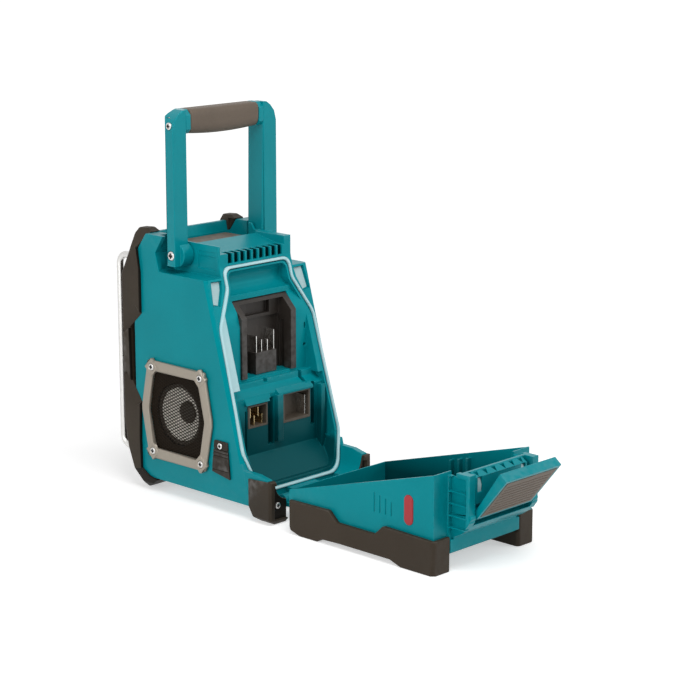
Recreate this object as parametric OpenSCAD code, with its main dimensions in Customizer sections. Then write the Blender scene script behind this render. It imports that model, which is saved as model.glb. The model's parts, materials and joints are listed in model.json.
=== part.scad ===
// Jobsite radio with a fold-down battery door, a folding carry handle and a
// latch at the end of the door. Millimetres, +Z up, floor at z = 0. The front
// with the display looks along -Y, the battery door opens along +Y. It is drawn
// with the door lying open on the floor, the handle upright and the latch lever
// open. The modules place everything from the middle of the cabinet's own
// footprint, and centred() then moves that by mid_y, so that the origin is the
// middle of the whole object's base.

/* [Cabinet] */
// Width across the two side faces
body_w = 158; // [140:1:176]
// Height of the side faces above the floor, at the front
body_h = 300; // [285:1:320]
// Front face of the moulded cabinet, distance from the origin
body_front = 108; // [100:1:118]
// Wall thickness of the mouldings
wall = 2.6; // [2:0.1:3.4]
// Ground clearance under the cabinet
ground_gap = 16; // [12:1:20]
// Height of the shoulders that the folded handle lies over
shoulder_h = 259; // [254:1:262]
// Half width of the raised block on top
crown_half = 55.5; // [50:0.5:57]
// Height of the raised block on top
crown_h = 293.6; // [288:0.2:296]

/* [Battery opening] */
// Top of the sealing rim above the floor
rim_top = 268.7; // [262:0.1:272]
// Bottom of the sealing rim above the floor
rim_bottom = 28; // [25:1:34]
// Half width of the opening at its widest
rim_half = 75.3; // [70:0.1:75.5]
// Half width of the opening at its top
rim_top_half = 50; // [44:0.5:54]
// Distance that the rim leans back for each unit of height
rim_slope = 0.283; // [0.25:0.001:0.3]
// Width of the seal
seal_w = 3; // [2.6:0.2:4.4]
// Height that the seal stands proud of its land
seal_proud = 2.4; // [2:0.1:3]

/* [Battery door] */
// Height of the door's hinge axis above the floor
hinge_h = 20; // [18:0.5:23]
// Distance of the door's hinge axis behind the origin
hinge_y = 100.5; // [98:0.5:104]
// Diameter of the hinge pin
hinge_pin_d = 6; // [5:0.5:7]
// Width across the door's walls
door_w = 151.8; // [140:0.2:152]
// Distance of the door's latch end behind the origin
door_end = 347; // [330:1:348]
// Width across the door's rubber feet
door_feet_w = 163; // [158:1:166]
// Half width of the latch block at the end of the door
block_half = 55; // [50:0.5:57]
// Length of the latch block
block_len = 29; // [24:1:30]

/* [Latch] */
// Half width of the latch lever
lever_half = 44; // [38:0.5:45]
// Length of the latch lever
lever_len = 61; // [54:1:62]
// Thickness of the lever at its free end
lever_t = 11; // [9:0.1:11.5]
// Lean of the open lever away from the door
lever_lean = 39; // [30:1:42]

/* [Handle] */
// Height of the handle's pivot above the floor
pivot_h = 279.7; // [277:0.1:281]
// Distance of the handle's pivot in front of the origin
pivot_front = 43.5; // [41:0.5:45]
// Reach of the handle above its pivot
handle_reach = 161.5; // [150:0.5:166]
// Width of the handle over its two legs
handle_w = 158; // [150:1:158]
// Width of one leg, seen from the front
leg_w = 20; // [16:0.5:20.5]
// Depth of one leg, front to back
leg_d = 25.5; // [20:0.5:26]
// Diameter of the pivot bolts
pivot_d = 8; // [6:0.5:9]

/* [Speakers] */
// Height of the speaker's centre above the floor
speaker_h = 99; // [92:1:108]
// Distance of the speaker's centre in front of the origin
speaker_front = 35; // [30:1:40]
// Diameter of the cone
cone_d = 64; // [54:1:70]
// Diameter of the dust cap
cap_d = 26; // [20:1:30]
// Half distance between the frame's screws, front to back
frame_screw_y = 40.5; // [38:0.5:43]
// Half distance between the frame's screws, top to bottom
frame_screw_z = 49.3; // [46:0.1:52]
// Half width of the frame at its bowed middle
frame_half = 58.5; // [56:0.5:60]
// Width of the frame's rails
frame_rail = 12; // [9:0.5:14]
// Height that the frame stands proud of the side
frame_proud = 4.6; // [3:0.2:4.8]

/* [Front controls] */
// Width of the display window
display_w = 62; // [50:1:70]
// Height of the display window
display_h = 34; // [28:1:40]
// Diameter of the tuning dial
dial_d = 34; // [28:1:38]
// Travel of a push button
button_travel = 1.5; // [1:0.1:2]

/* [Guard bars] */
// Diameter of the steel guard bars
bar_d = 8; // [6:0.5:8]

/* [Fits] */
// Gap between pieces that move against each other
gap = 0.35; // [0.3:0.05:0.5]
// Radial clearance of a shaft in its bore
fit = 0.05; // [0.02:0.01:0.08]

/* [Hidden] */
$fn = 48;
eps = 0.01;
body_half = body_w / 2;
skin_half = body_half - wall;

// ---- colours ----
teal = [0.02, 0.50, 0.53];
rubber = [0.20, 0.17, 0.15];
taupe = [0.38, 0.34, 0.30];
frame_grey = [0.52, 0.50, 0.46];
steel = [0.78, 0.78, 0.77];
seal_tint = [0.72, 0.88, 0.89];
board_green = [0.10, 0.32, 0.16];

// ---- helpers ----
// Extrudes an outline of (x, z) points from y0 to y1.
module along_y(y0, y1) {
  translate([0, y1, 0])
    rotate([90, 0, 0])
      linear_extrude(y1 - y0)
        children();
}
// Extrudes an outline of (y, z) points from x0 to x1.
module along_x(x0, x1) {
  translate([x0, 0, 0])
    rotate([90, 0, 90])
      linear_extrude(x1 - x0)
        children();
}
// A box given by its two corners.
module span(low, high) {
  translate(low)
    cube(high - low);
}
// A copy on each side of the plane x = 0.
module both_sides() {
  children();
  mirror([1, 0, 0])
    children();
}
// A rod along X from x0 to x1.
module rod_x(x0, x1, y, z, d) {
  translate([x0, y, z])
    rotate([0, 90, 0])
      cylinder(h = x1 - x0, d = d);
}
// A rod along Y from y0 to y1.
module rod_y(y0, y1, x, z, d) {
  translate([x, y1, z])
    rotate([90, 0, 0])
      cylinder(h = y1 - y0, d = d);
}
function unit(v) = v / norm(v);
// Points of the arc that rounds corner p between the points a and b.
function corner_arc(p, a, b, r, n = 5) =
  let (u = unit(a - p), v = unit(b - p), half = acos(u * v) / 2)
  let (c = p + unit(u + v) * r / sin(half), s = p + u * r / tan(half), e = p + v * r / tan(half))
  let (a0 = atan2(s[1] - c[1], s[0] - c[0]), a1 = atan2(e[1] - c[1], e[0] - c[0]))
  let (turn = (a1 - a0 + 540) % 360 - 180)
  [for (k = [0:n]) c + r * [cos(a0 + turn * k / n), sin(a0 + turn * k / n)]];
// An outline whose corners [x, y, radius] are rounded.
function rounded(corners) =
  let (n = len(corners))
  [for (i = [0:n - 1])
    let (c = corners[i], a = corners[(i + n - 1) % n], b = corners[(i + 1) % n])
    each c[2] > 0
      ? corner_arc([c[0], c[1]], [a[0], a[1]], [b[0], b[1]], c[2])
      : [[c[0], c[1]]]];
// A right half outline completed by its mirror image.
function mirrored(half) =
  concat(half, [for (i = [len(half) - 1:-1:0]) [-half[i][0], half[i][1], half[i][2]]]);

// ---- battery opening ----
function rim_y(z) = 10.5 + rim_slope * (rim_top - z);
// Outline of the opening, drawn in by inset d.
function rim_outline(d) = rounded(mirrored([
  [rim_top_half - d, rim_top - d, 9 - d / 3],
  [rim_top_half - d, rim_top - 22 - d / 2, 14],
  [rim_half - 3.3 - d, rim_top - 63 - d / 3, 30],
  [rim_half - d, rim_bottom + 44, 30],
  [rim_half - 14 - 0.8 * d, rim_bottom + d, 18 - d / 2]]));
// Everything in front of the plane of the rim, moved back by lift.
module ahead_of_rim(lift) {
  along_x(-body_half - 5, body_half + 5)
    polygon([[-200, 0], [rim_y(0) + lift, 0], [rim_y(320) + lift, 320], [-200, 320]]);
}

// ---- shapes shared by the cabinet's pieces ----
crown_back = 9.8;
panel_y = 29;
ledge_y = 46.6;
ledge_top = 127;
shelf_z = 141;
scoop_top = 60;
lip_z = 238;
bay_half = 69.5;
mouth_half = 61.5;
pad_low = 138;
pad_high = 229;
tray_floor = 282;
tray_front = -96;
tray_back = -38;
tray_half = 60;
cheek = 3;
cheek_front = -57;
deck_high = 291.5;
deck_low = 284.5;
ridge_top = 297.5;
ridge_half = 56.8;
port = [36, 62];
port_w = 24;
port_h = 40;
port_screw_z = port[1] + port_h / 2 - 5.5;
well_half = 7;
// Height, bore and centre pin of each jack.
jacks = [[62, 5.6, 1.9], [50, 3.6, 0]];
jack_d = 9.6;

side_outline = [
  [-98, ground_gap], [-body_front, ground_gap + 10], [-body_front, 268],
  [-98, 284], [-86, body_h], [-52, body_h], [-48, crown_h], [crown_back, crown_h],
  [crown_back, rim_top + 4], [rim_y(rim_top), rim_top], [rim_y(rim_bottom), rim_bottom],
  [rim_y(rim_bottom) + 1, ground_gap]];
pocket_outline = [
  [-64, shoulder_h], [-70, 280], [-57, body_h], [-53, body_h + 12],
  [30, body_h + 12], [30, shoulder_h]];
pocket_back = -67.5;
block_back = 108;
block_outline = [
  [50, ground_gap], [50, 60], [66, 59], [71, 54.5], [92, 54], [block_back, 50.5], [block_back, 10],
  [84, 10], [78, ground_gap]];

module cavity() {
  difference() {
    intersection() {
      along_x(-skin_half, skin_half)
        polygon([
          [-97, ground_gap + wall], [-body_front - 1, ground_gap + 12], [-body_front - 1, 266],
          [-96, 281], [-85, tray_floor - wall - 1], [-72, tray_floor - wall - 1],
          [-72, shoulder_h - wall], [90, shoulder_h - wall], [90, ground_gap + wall]]);
      ahead_of_rim(-wall - 1.5);
    }
    bay_block(0.2);
    both_sides()
      plate_backing();
  }
}
// Bevel between each side face and the plane of the rim.
module side_bevel() {
  both_sides()
    translate([0, rim_y(62), 62])
      rotate([atan(rim_slope), 0, 0])
        linear_extrude(230)
          polygon([[body_half - 3.4, 0.5], [body_half + 1, 0.5], [body_half + 1, -5]]);
}
// The volume that the battery bay's liner takes up, grown by g.
module bay_block(g) {
  difference() {
    intersection() {
      along_y(-20, 120)
        polygon(rim_outline(2.6 - g));
      along_x(-body_half, body_half)
        polygon([
          [2 - wall - g, rim_top + 1], [-2 - wall - g, lip_z + 26], [-3 - wall - g, lip_z - 6],
          [panel_y - 26 - g, 212], [panel_y - 26 - g, 128 - g], [14 - g, 122 - g],
          [14 - g, scoop_top - 16 - g], [60, rim_bottom - g], [90, rim_bottom - g], [90, rim_top + 1]]);
      ahead_of_rim(0);
    }
    // space for the ports behind the side wall
    span([body_half - 26 + g, port[0] - 13 + g, port[1] - 21 + g],
      [body_half, port[0] + 8.8 - g, port[1] + 20 - g]);
  }
}
// The hollow of the battery bay, in front of which nothing stands.
module bay_hollow() {
  intersection() {
    along_y(-20, 130)
      polygon(rim_outline(5.2));
    union() {
      // upper part, between the lands
      along_x(-mouth_half, mouth_half)
        polygon([
          [15.7, lip_z], [15.7, 231], [panel_y, 213], [panel_y, shelf_z], [36, shelf_z], [36, 134],
          [130, 134], [130, lip_z]]);
      // lower part, as wide as the seal lets it
      along_x(-bay_half, bay_half)
        polygon([
          [36, pad_low], [36, 134], [40, 132], [ledge_y, ledge_top], [ledge_y, scoop_top], [72, 34], [130, 34],
          [130, pad_low]]);
      // concave cove above the lip
      rod_x(-mouth_half, mouth_half, 15.7, 251, 27);
      along_x(-mouth_half, mouth_half)
        polygon([[15.7, lip_z], [15.7, 264], [130, 264], [130, lip_z]]);
    }
  }
}

// ================= cabinet =================
module main_housing() {
  color(teal) {
    housing_shell();
    port_well();
  }
}
module housing_shell() {
  difference() {
    union() {
      difference() {
        along_x(-body_half, body_half)
          polygon(side_outline);
        both_sides() {
          along_x(crown_half, body_half + 1)
            polygon(pocket_outline);
          span([crown_half, pocket_back, shoulder_h + 2], [handle_half - 5.5, -50, body_h + 1]);
        }
      }
      both_sides()
        hinge_block();
      hinge_ear();
      hub_boss();
      front_ridge();
    }
    cavity();
    bay_block(0.2);
    seal_ring(seal_w / 2 + 0.1, -2, 1);
    side_bevel();
    top_tray_cut();
    vent_slots();
    front_opening();
    both_sides()
      speaker_opening();
    port_mouth();
    rod_x(-25, 25, hinge_y, hinge_h, hinge_pin_d + 2 * fit);
    both_sides()
      rod_x(crown_half - cheek - 6, body_half, -pivot_front, pivot_h, pivot_d);
    both_sides()
      plate_seat();
  }
}
// Block behind each lower corner of the opening, which the rubber foot wraps.
module hinge_block() {
  difference() {
    along_x(54, body_half - 0.2)
      polygon(block_outline);
    along_y(0, 130)
      polygon(rim_outline(-seal_w / 2 - 0.8));
    rod_x(50, 70, hinge_y, hinge_h, hinge_pin_d + 2 * fit);
    rod_y(90, 120, 66.5, 21, 3);
  }
}
module hinge_ear() {
  rod_x(-21.6, 21.6, hinge_y, hinge_h, 15);
  span([-21.6, rim_y(rim_bottom) - 2, hinge_h - 4], [21.6, hinge_y, rim_bottom - seal_w / 2 - 0.5]);
}
// Round bosses on the raised block that the handle's hubs turn against.
module hub_boss() {
  both_sides()
    rod_x(crown_half - 4, leg_inner - 0.3 - gap, -pivot_front, pivot_h, 20);
}
module front_ridge() {
  along_x(-ridge_half, ridge_half)
    polygon([
      [-body_front, 262], [-body_front, 290], [-104, ridge_top], [-99, ridge_top], [tray_front, tray_floor],
      [tray_front, 262]]);
}
module top_tray_cut() {
  // tray behind the front ridge, with a cheek left inside each foot of the handle
  span([-tray_half, tray_front, tray_floor], [tray_half, cheek_front, body_h + 5]);
  difference() {
    span([-crown_half + cheek, cheek_front - 1, tray_floor], [crown_half - cheek, tray_back, body_h + 5]);
    rod_x(-60, -crown_half + cheek + 7, -pivot_front, pivot_h, 16);
    rod_x(crown_half - cheek - 7, 60, -pivot_front, pivot_h, 16);
  }
  // deck that falls towards the vents, with a raised block left beside it
  along_x(-crown_half + 10.5, crown_half - 2.4)
    polygon([
      [tray_back - 1, deck_high], [tray_back - 1, body_h], [crown_back + 1, body_h], [crown_back + 1, deck_low - 0.3],
      [-4, deck_low]]);
  // stepped flanks of the raised block
  both_sides() {
    span([crown_half - 1.4, -24, 266], [crown_half + 1, 5, 281]);
    span([crown_half - 0.7, -24, 281 - eps], [crown_half + 1, 5, 286]);
  }
}
vent_count = 9;
vent_pitch = 9.6;
module vent_slots() {
  for (i = [0:vent_count - 1])
    translate([(i - (vent_count - 1) / 2) * vent_pitch, 0, 0]) {
      span([-3.3, -2, 273], [3.3, crown_back + 1, deck_low + 0.2]);
      span([-3.3, -30, 273], [3.3, 0, deck_low - 3.2]);
    }
}
module front_opening() {
  span([-52, -body_front - 5, 60], [52, -body_front + 20, 262]);
}
module speaker_opening() {
  rod_x(body_half - wall - 5, body_half + 5, -speaker_front, speaker_h, cone_d + 14);
  both_ways()
    rod_x(body_half - wall - 3, body_half + 1, 0, 0, 3.4);
}
// The four places of a speaker's screws.
module both_ways() {
  for (a = [-1, 1], b = [-1, 1])
    translate([0, a * frame_screw_y - speaker_front, b * frame_screw_z + speaker_h])
      children();
}
// Opening of the port well in the side wall, and the hole of the cover's screw.
module port_mouth() {
  span([skin_half - 1, port[0] - well_half, port[1] - 17], [body_half + 1, port[0] + well_half, port[1] + 5]);
  rod_x(skin_half - 1, body_half + 1, port[0], port_screw_z, 2.6);
}
// Walls of the well around the jacks, and a boss for the cover's screw.
module port_well() {
  difference() {
    union() {
      span([body_half - 14, port[0] - well_half - 1.6, port[1] - 18.6],
        [skin_half + eps, port[0] + well_half + 1.6, port[1] + 6.6]);
      rod_x(skin_half - 3, skin_half + eps, port[0], port_screw_z, 6);
    }
    span([body_half - 12, port[0] - well_half, port[1] - 17], [body_half, port[0] + well_half, port[1] + 5]);
    for (jack = jacks)
      rod_x(body_half - 15, body_half, port[0], jack[0], jack_d + 2 * fit);
    rod_x(skin_half - 4, body_half, port[0], port_screw_z, 2.6);
  }
}
module plate_outline(g) {
  polygon([
    [57 - g, 255 + g], [70.5 + g, 255.5 + g], [73.5 + g, 232 - g], [65.5 - g, 230 - g], [58.5 - g, 246]]);
}
// The layer that lies between two depths under the plane of the rim.
module rim_layer(low, high) {
  difference() {
    ahead_of_rim(high);
    ahead_of_rim(low);
  }
}
plate_depth = 3.4;
module plate_seat() {
  intersection() {
    along_y(-20, 60)
      plate_outline(1);
    rim_layer(-plate_depth, 2);
  }
  intersection() {
    along_y(-20, 60)
      plate_outline(0.1);
    rim_layer(-plate_depth - 1.2, 2);
  }
}
module plate_backing() {
  intersection() {
    along_y(-20, 60)
      plate_outline(3.5);
    rim_layer(-plate_depth - 3.4, 0);
  }
}
module catch_plates() {
  color(seal_tint)
  both_sides()
    intersection() {
      along_y(-20, 60)
        plate_outline(0);
      rim_layer(-plate_depth - 1.2, -plate_depth + 0.3);
    }
}
big_half = 42.2;
big_low = 143.8;
hood_top = 226;
small_x = [18.9, 48.8];
slide_x = [-48.5, -5];
small_z = [91.5, 117.5];
slide_z = [88, 122];
module battery_bay() {
  color(teal)
  difference() {
    union() {
      difference() {
        bay_block(0);
        bay_hollow();
      }
      bay_ribs();
    }
    // holes that the three sockets sit in
    span([-big_half - 0.1, -10, big_low - 0.1], [big_half + 0.1, 60, 231]);
    span([small_x[0] - 0.1, socket_back, small_z[0] - 0.1], [small_x[1] + 0.1, 60, small_z[1] + 0.1]);
    span([slide_x[0] - 0.1, socket_back, slide_z[0] - 0.1], [slide_x[1] + 0.1, 60, slide_z[1] + 0.1]);
    // deep slots beside the small sockets
    span([small_x[1] + 1.6, slot_back, 62], [small_x[1] + 4, 60, 112]);
    span([small_x[0] - 9.5, slot_back, 68], [small_x[0] - 1.5, 60, 122]);
    span([slide_x[1] + 0.8, slot_back, 74], [slide_x[1] + 3.4, 60, 104]);
    span([slide_x[0] - 8, slot_back, 78], [slide_x[0] - 2, 60, ledge_top + 1]);
    span([-bay_half, slot_back, 64], [-bay_half + 3, 60, 104]);
    rod_y(10, 40, -58, 168.5, 4);
    span([-59.5, 20, 187], [-57.5, 40, 194]);
    // notches in the shelf
    span([8, 30, 137], [14, 60, 150]);
    span([-46, 30, 129], [-41, 60, 150]);
  }
}
socket_back = 22;
slot_back = 26;
// Ribs, eaves and the rail that stand on the bay's back wall.
module bay_ribs() {
  along_x(small_x[0] - 4, small_x[1] + 5)
    polygon([[ledge_y - 1, 119], [ledge_y + 4, 119], [ledge_y - 1, ledge_top + 1]]);
  along_x(slide_x[0] - 1.5, slide_x[1] + 10)
    polygon([[ledge_y - 1, 122.6], [ledge_y + 5, 122.6], [ledge_y + 5, 125.5], [ledge_y - 1, 130]]);
  span([slide_x[1] + 4, ledge_y - 1, 70], [slide_x[1] + 12.5, ledge_y + 6, 124]);
  span([-66, ledge_y - 1, 48], [-59.5, ledge_y + 8, 125]);
}
// Ring along the rim's outline, half as wide as h on each side of it.
module seal_ring(h, low, high) {
  intersection() {
    difference() {
      along_y(0, 90)
        polygon(rim_outline(-h));
      along_y(-1, 91)
        polygon(rim_outline(h));
    }
    rim_layer(low, high);
  }
}
module bay_gasket() {
  color(seal_tint) {
    seal_ring(seal_w / 2, -2, seal_proud);
    // wide pad of the seal on the land beside the big socket
    intersection() {
      along_y(0, 90)
        polygon(rim_outline(seal_w / 2 - 0.5));
      span([mouth_half, 0, pad_low], [body_half, 90, pad_high]);
      rim_layer(0, 1);
    }
  }
}
module big_socket() {
  color(rubber)
  difference() {
    along_x(-big_half, big_half)
      polygon([[4, big_low], [31.5, big_low], [31.5, 213], [14, 230.5], [4, 230.5]]);
    // slide-in space and the deeper hood at its top
    span([-big_half + 8, 9, big_low - 1], [big_half - 8, 40, 206]);
    along_x(-big_half + 8, big_half - 8)
      polygon([[9, 200], [9, 206], [12, 206], [12, hood_top], [40, hood_top], [40, 200]]);
    // pocket in the wall behind the hood
    span([-18.5, 6, 210], [18.5, 12 + eps, hood_top - 1]);
    both_sides()
      span([big_half - 12, 12, big_low - 1], [big_half - 5, 20, 200]);
  }
  color(rubber)
  span([-18, 9, big_low + 0.2], [14, 24, big_low + 25]);
}
// Place and height of each blade.
blades = [[-15, 22.8], [-5, 13], [4, 14], [12, 19]];
module big_socket_blades() {
  color(steel)
  for (b = blades)
    span([b[0] - 0.5, 9 + 0.1, big_low + 25.2], [b[0] + 0.5, 23, big_low + 25.2 + b[1]]);
}
socket_floor = socket_back + 8;
module small_socket() {
  color(taupe)
  difference() {
    span([small_x[0], socket_back, small_z[0]], [small_x[1], ledge_y + 1, small_z[1]]);
    span([small_x[0] + 2.5, socket_floor, small_z[0] + 2], [small_x[1] - 2.5, 60, small_z[1] - 2]);
  }
}
module small_socket_contacts() {
  color([0.78, 0.62, 0.30])
  for (i = [0:3])
    translate([small_x[0] + 5 + i * 6, socket_floor, small_z[0] + 2 + (i % 2) * 9])
      cube([1.2, 14, 11]);
}
module slide_socket() {
  color(taupe)
  difference() {
    span([slide_x[0], socket_back, slide_z[0]], [slide_x[1], ledge_y + 1, slide_z[1]]);
    span([slide_x[0] + 3, socket_floor, slide_z[0] + 3], [slide_x[1] - 3, 60, slide_z[1] - 2]);
  }
}
module slide_socket_contacts() {
  color(steel)
  for (x = [slide_x[0] + 4.5, slide_x[1] - 5.5])
    span([x, socket_floor, slide_z[0] + 3], [x + 1, socket_floor + 14, slide_z[0] + 26]);
}
module rear_foot() {
  color(rubber)
  difference() {
    intersection() {
      along_x(52, body_half + 1.5)
        polygon([
          [79.5, 48], [79.5, 17], [90, 0], [111, 0], [114, 5], [114, 48.5], [112, 49.7], [90.2, 48.6]]);
      along_y(70, 120)
        polygon([
          [52, 3], [54, 0], [71, 0], [body_half + 1.5, 6], [body_half + 1.5, 50], [57, 50], [52, 44]]);
      linear_extrude(60)
        polygon([
          [52, 70], [body_half + 1.5, 70], [body_half + 1.5, 111.5], [body_half - 1, 114], [52, 114]]);
    }
    along_x(40, body_half)
      polygon(block_outline);
    along_y(0, 130)
      polygon(rim_outline(-seal_w / 2 - 0.8));
    rod_x(50, 62, hinge_y, hinge_h, hinge_pin_d + 2 * fit);
    // recess with the screw in its floor
    span([50, 110.5, 5], [72.5, 120, 44]);
    rod_y(90, 120, 66.5, 21, 3);
  }
}
module rear_foot_right() {
  rear_foot();
}
module rear_foot_left() {
  mirror([1, 0, 0])
    rear_foot();
}
module foot_screws() {
  color(steel)
  both_sides()
    difference() {
      union() {
        rod_y(110.5, 113, 66.5, 21, 7);
        rod_y(92, 110.5 + eps, 66.5, 21, 2.9);
      }
      rod_y(111.5, 114, 66.5, 21, 3);
    }
}
module hinge_pin() {
  color(steel)
  rod_x(-61.5, 61.5, hinge_y, hinge_h, hinge_pin_d);
}
module top_pad() {
  color(taupe)
  span([-51, -94, tray_floor], [51, -pivot_front - 9, tray_floor + 2.5]);
}
// Corner bumper of the cabinet's front, right-hand side, in (y, z).
guard_outline = [
  [-107, 304], [-119, 281], [-129, 258], [-131.5, 245], [-131.5, 62], [-128, 38], [-114, 0],
  [-98, 0], [-84, 6], [-71, 15], [-86, 18], [-97.5, 25], [-98.5, 58], [-97, 103],
  [-113, 126], [-115, 189], [-95, 207], [-95, 257], [-99, 283], [-88, 298], [-85, 301], [-93, 305]];
// Outer skin of the bumper, and the width of the slopes at its narrow middle.
guard_out = body_half + 4;
slope_w = 16;
// Reach of its outer corner along the diagonal, and the height.
corner_outline = [
  [0, -1], [117, -1], [124.4, 7], [136, 22], [142.9, 46], [147, 78], [147, 250], [137.5, 276],
  [128.5, 303], [126, 320], [0, 320]];
// Slope cut along an edge of the side face that starts at p in (y, z) and leans back by lean.
module edge_facet(p, lean, way) {
  translate([0, p[0], p[1]])
    rotate([lean, 0, 0])
      linear_extrude(40)
        polygon([
          [body_half + gap, -way], [guard_out + 1.5, -way], [guard_out + 1.5, slope_w * way],
          [body_half + gap, 0]]);
}
module bumper() {
  color(rubber)
  difference() {
    intersection() {
      along_x(50, guard_out)
        polygon(guard_outline);
      // chamfered vertical corner
      linear_extrude(320)
        polygon([[50, -122], [54, -132], [74, -132], [guard_out, -125], [guard_out, -60], [50, -60]]);
      along_y(-140, -60)
        polygon([
          [50, 10], [56, 0], [72, 0], [guard_out - 2.5, 9], [guard_out, 24], [guard_out, 284], [69, 306],
          [59, 306], [57, 298], [50, 298]]);
      // outer corner, which leans in above the bar and below it
      rotate([0, 0, -46])
        along_y(-200, 200)
          polygon(corner_outline);
    }
    // room for the cabinet, its ridge and its front panel
    along_x(40, body_half)
      polygon([
        [-98, ground_gap], [-body_front, ground_gap + 10], [-body_front, 268], [-98, 284], [-86, body_h],
        [-40, body_h], [-40, ground_gap]]);
    span([40, -120, 40], [ridge_half + 0.2, -80, 300]);
    span([40, tray_front - 0.2, 40], [tray_half + 0.2, -80, 300]);
    // slopes at the two ends of the narrow middle
    edge_facet([-97, 103], 36.5, -1);
    edge_facet([-95, 207], 132, 1);
    guard_bar_path(0);
  }
}
module bumper_right() {
  bumper();
}
module bumper_left() {
  mirror([1, 0, 0])
    bumper();
}
bar_x = 72;
bar_y = -139.5;
bar_low = 56;
bar_high = 258;
bar_bend = 12;
// Steel bar: an upright with a bend and a leg into the bumper at each end.
module guard_bar_path(g) {
  translate([bar_x, bar_y, bar_low])
    cylinder(h = bar_high - bar_low, d = bar_d + 2 * g);
  for (end = [[bar_high, 0], [bar_low, 1]])
    translate([bar_x, bar_y, end[0]])
      mirror([0, 0, end[1]]) {
        translate([0, bar_bend, 0])
          rotate([90, 0, -90])
            rotate_extrude(angle = 90)
              translate([bar_bend, 0])
                circle(d = bar_d + 2 * g);
        rod_y(bar_bend - eps, bar_bend + 9, 0, bar_bend, bar_d + 2 * g);
      }
}
module guard_bar_right() {
  color(steel)
  guard_bar_path(0);
}
module guard_bar_left() {
  mirror([1, 0, 0])
    guard_bar_right();
}

// ---- front panel and controls ----
fascia_y = -body_front - 4;
display_pos = [-14, 214];
dial_pos = [24, 150];
// Places [x, z] of the push buttons: power, mode, menu and the four presets.
button_spots = [[36, 228], [36, 212], [36, 196], [-36, 98], [-12, 98], [12, 98], [36, 98]];
button_w = 15;
button_z = 8;
module button_hole(spot) {
  span([spot[0] - button_w / 2 - gap, fascia_y - 5, spot[1] - button_z / 2 - gap],
    [spot[0] + button_w / 2 + gap, fascia_y + 12, spot[1] + button_z / 2 + gap]);
}
module front_panel() {
  color(rubber)
  difference() {
    union() {
      span([-49.5, fascia_y, ground_gap + 11], [49.5, -body_front, 274]);
      span([-51.5, -body_front, 62], [51.5, -body_front + 5, 260]);
    }
    span([-47, fascia_y + wall, 64], [47, -body_front + 6, 258]);
    // window of the display
    span([display_pos[0] - display_w / 2, fascia_y - 1, display_pos[1] - display_h / 2],
      [display_pos[0] + display_w / 2, fascia_y + 10, display_pos[1] + display_h / 2]);
    rod_y(fascia_y - 1, fascia_y + 10, dial_pos[0], dial_pos[1], 8);
    for (s = button_spots)
      button_hole(s);
  }
}
module display_lens() {
  color([0.75, 0.82, 0.86, 0.4])
  span([display_pos[0] - display_w / 2 + 0.2, fascia_y - 0.6, display_pos[1] - display_h / 2 + 0.2],
    [display_pos[0] + display_w / 2 - 0.2, fascia_y + wall, display_pos[1] + display_h / 2 - 0.2]);
}
module display_module() {
  color([0.62, 0.70, 0.66])
  span([display_pos[0] - display_w / 2 - 1.5, fascia_y + wall, display_pos[1] - display_h / 2 - 4],
    [display_pos[0] + display_w / 2 + 1.5, fascia_y + wall + 5, display_pos[1] + display_h / 2 + 4]);
}
board_y = fascia_y + 14;
module main_board() {
  color(board_green) {
    span([-44, board_y, 70], [44, board_y + 1.6, 252]);
    // encoder body behind the dial and one switch behind each button
    rod_y(fascia_y + 8, board_y, dial_pos[0], dial_pos[1], 12);
    for (s = button_spots)
      translate([s[0], 0, s[1]])
        span([-3, fascia_y + 10.5 + button_travel, -3], [3, board_y, 3]);
    // chips
    span([-30, board_y + 1.6, 150], [-8, board_y + 4, 172]);
    span([10, board_y + 1.6, 200], [26, board_y + 4, 216]);
    // stand-offs up to the fascia's frame
    for (x = [-40, 40], z = [76, 246])
      rod_y(fascia_y + wall, board_y, x, z, 6);
  }
}
module amplifier_board() {
  color(board_green) {
    span([-30, -88, ground_gap + wall + 3], [30, -20, ground_gap + wall + 4.6]);
    for (x = [-26, 26], y = [-82, -26])
      translate([x, y, ground_gap + wall])
        cylinder(h = 3, d = 6);
    span([-14, -70, ground_gap + wall + 4.6], [14, -64, ground_gap + wall + 26]);
    for (x = [-12, 0, 12])
      translate([x, -44, ground_gap + wall + 4.6])
        cylinder(h = 18, d = 10);
  }
}
module aerial() {
  color([0.72, 0.45, 0.2])
  rod_x(-40, 40, -80, 270, 8);
  color(rubber)
  for (x = [-34, 34])
    span([x - 3, -84.5, 273], [x + 3, -75.5, tray_floor - wall - 1]);
}
module dial_solid() {
  difference() {
    union() {
      rod_y(fascia_y - 15, fascia_y - gap, dial_pos[0], dial_pos[1], dial_d);
      rod_y(fascia_y - 1, fascia_y + 8 - gap, dial_pos[0], dial_pos[1], 8 - 2 * fit);
    }
    // finger dimple
    translate([dial_pos[0], fascia_y - 19, dial_pos[1] + dial_d / 4])
      sphere(d = 12);
  }
}
module tuning_dial() {
  color(taupe)
  dial_solid();
}
module push_button(i) {
  color(i == 0 ? [0.75, 0.15, 0.12] : taupe)
  translate([button_spots[i][0], 0, button_spots[i][1]]) {
    span([-button_w / 2, fascia_y - 2, -button_z / 2], [button_w / 2, fascia_y + wall + 1, button_z / 2]);
    span([-2, fascia_y + wall + 1, -2], [2, fascia_y + 10.5 - gap, 2]);
  }
}
module power_button() { push_button(0); }
module mode_button() { push_button(1); }
module menu_button() { push_button(2); }
module preset_button_1() { push_button(3); }
module preset_button_2() { push_button(4); }
module preset_button_3() { push_button(5); }
module preset_button_4() { push_button(6); }

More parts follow.
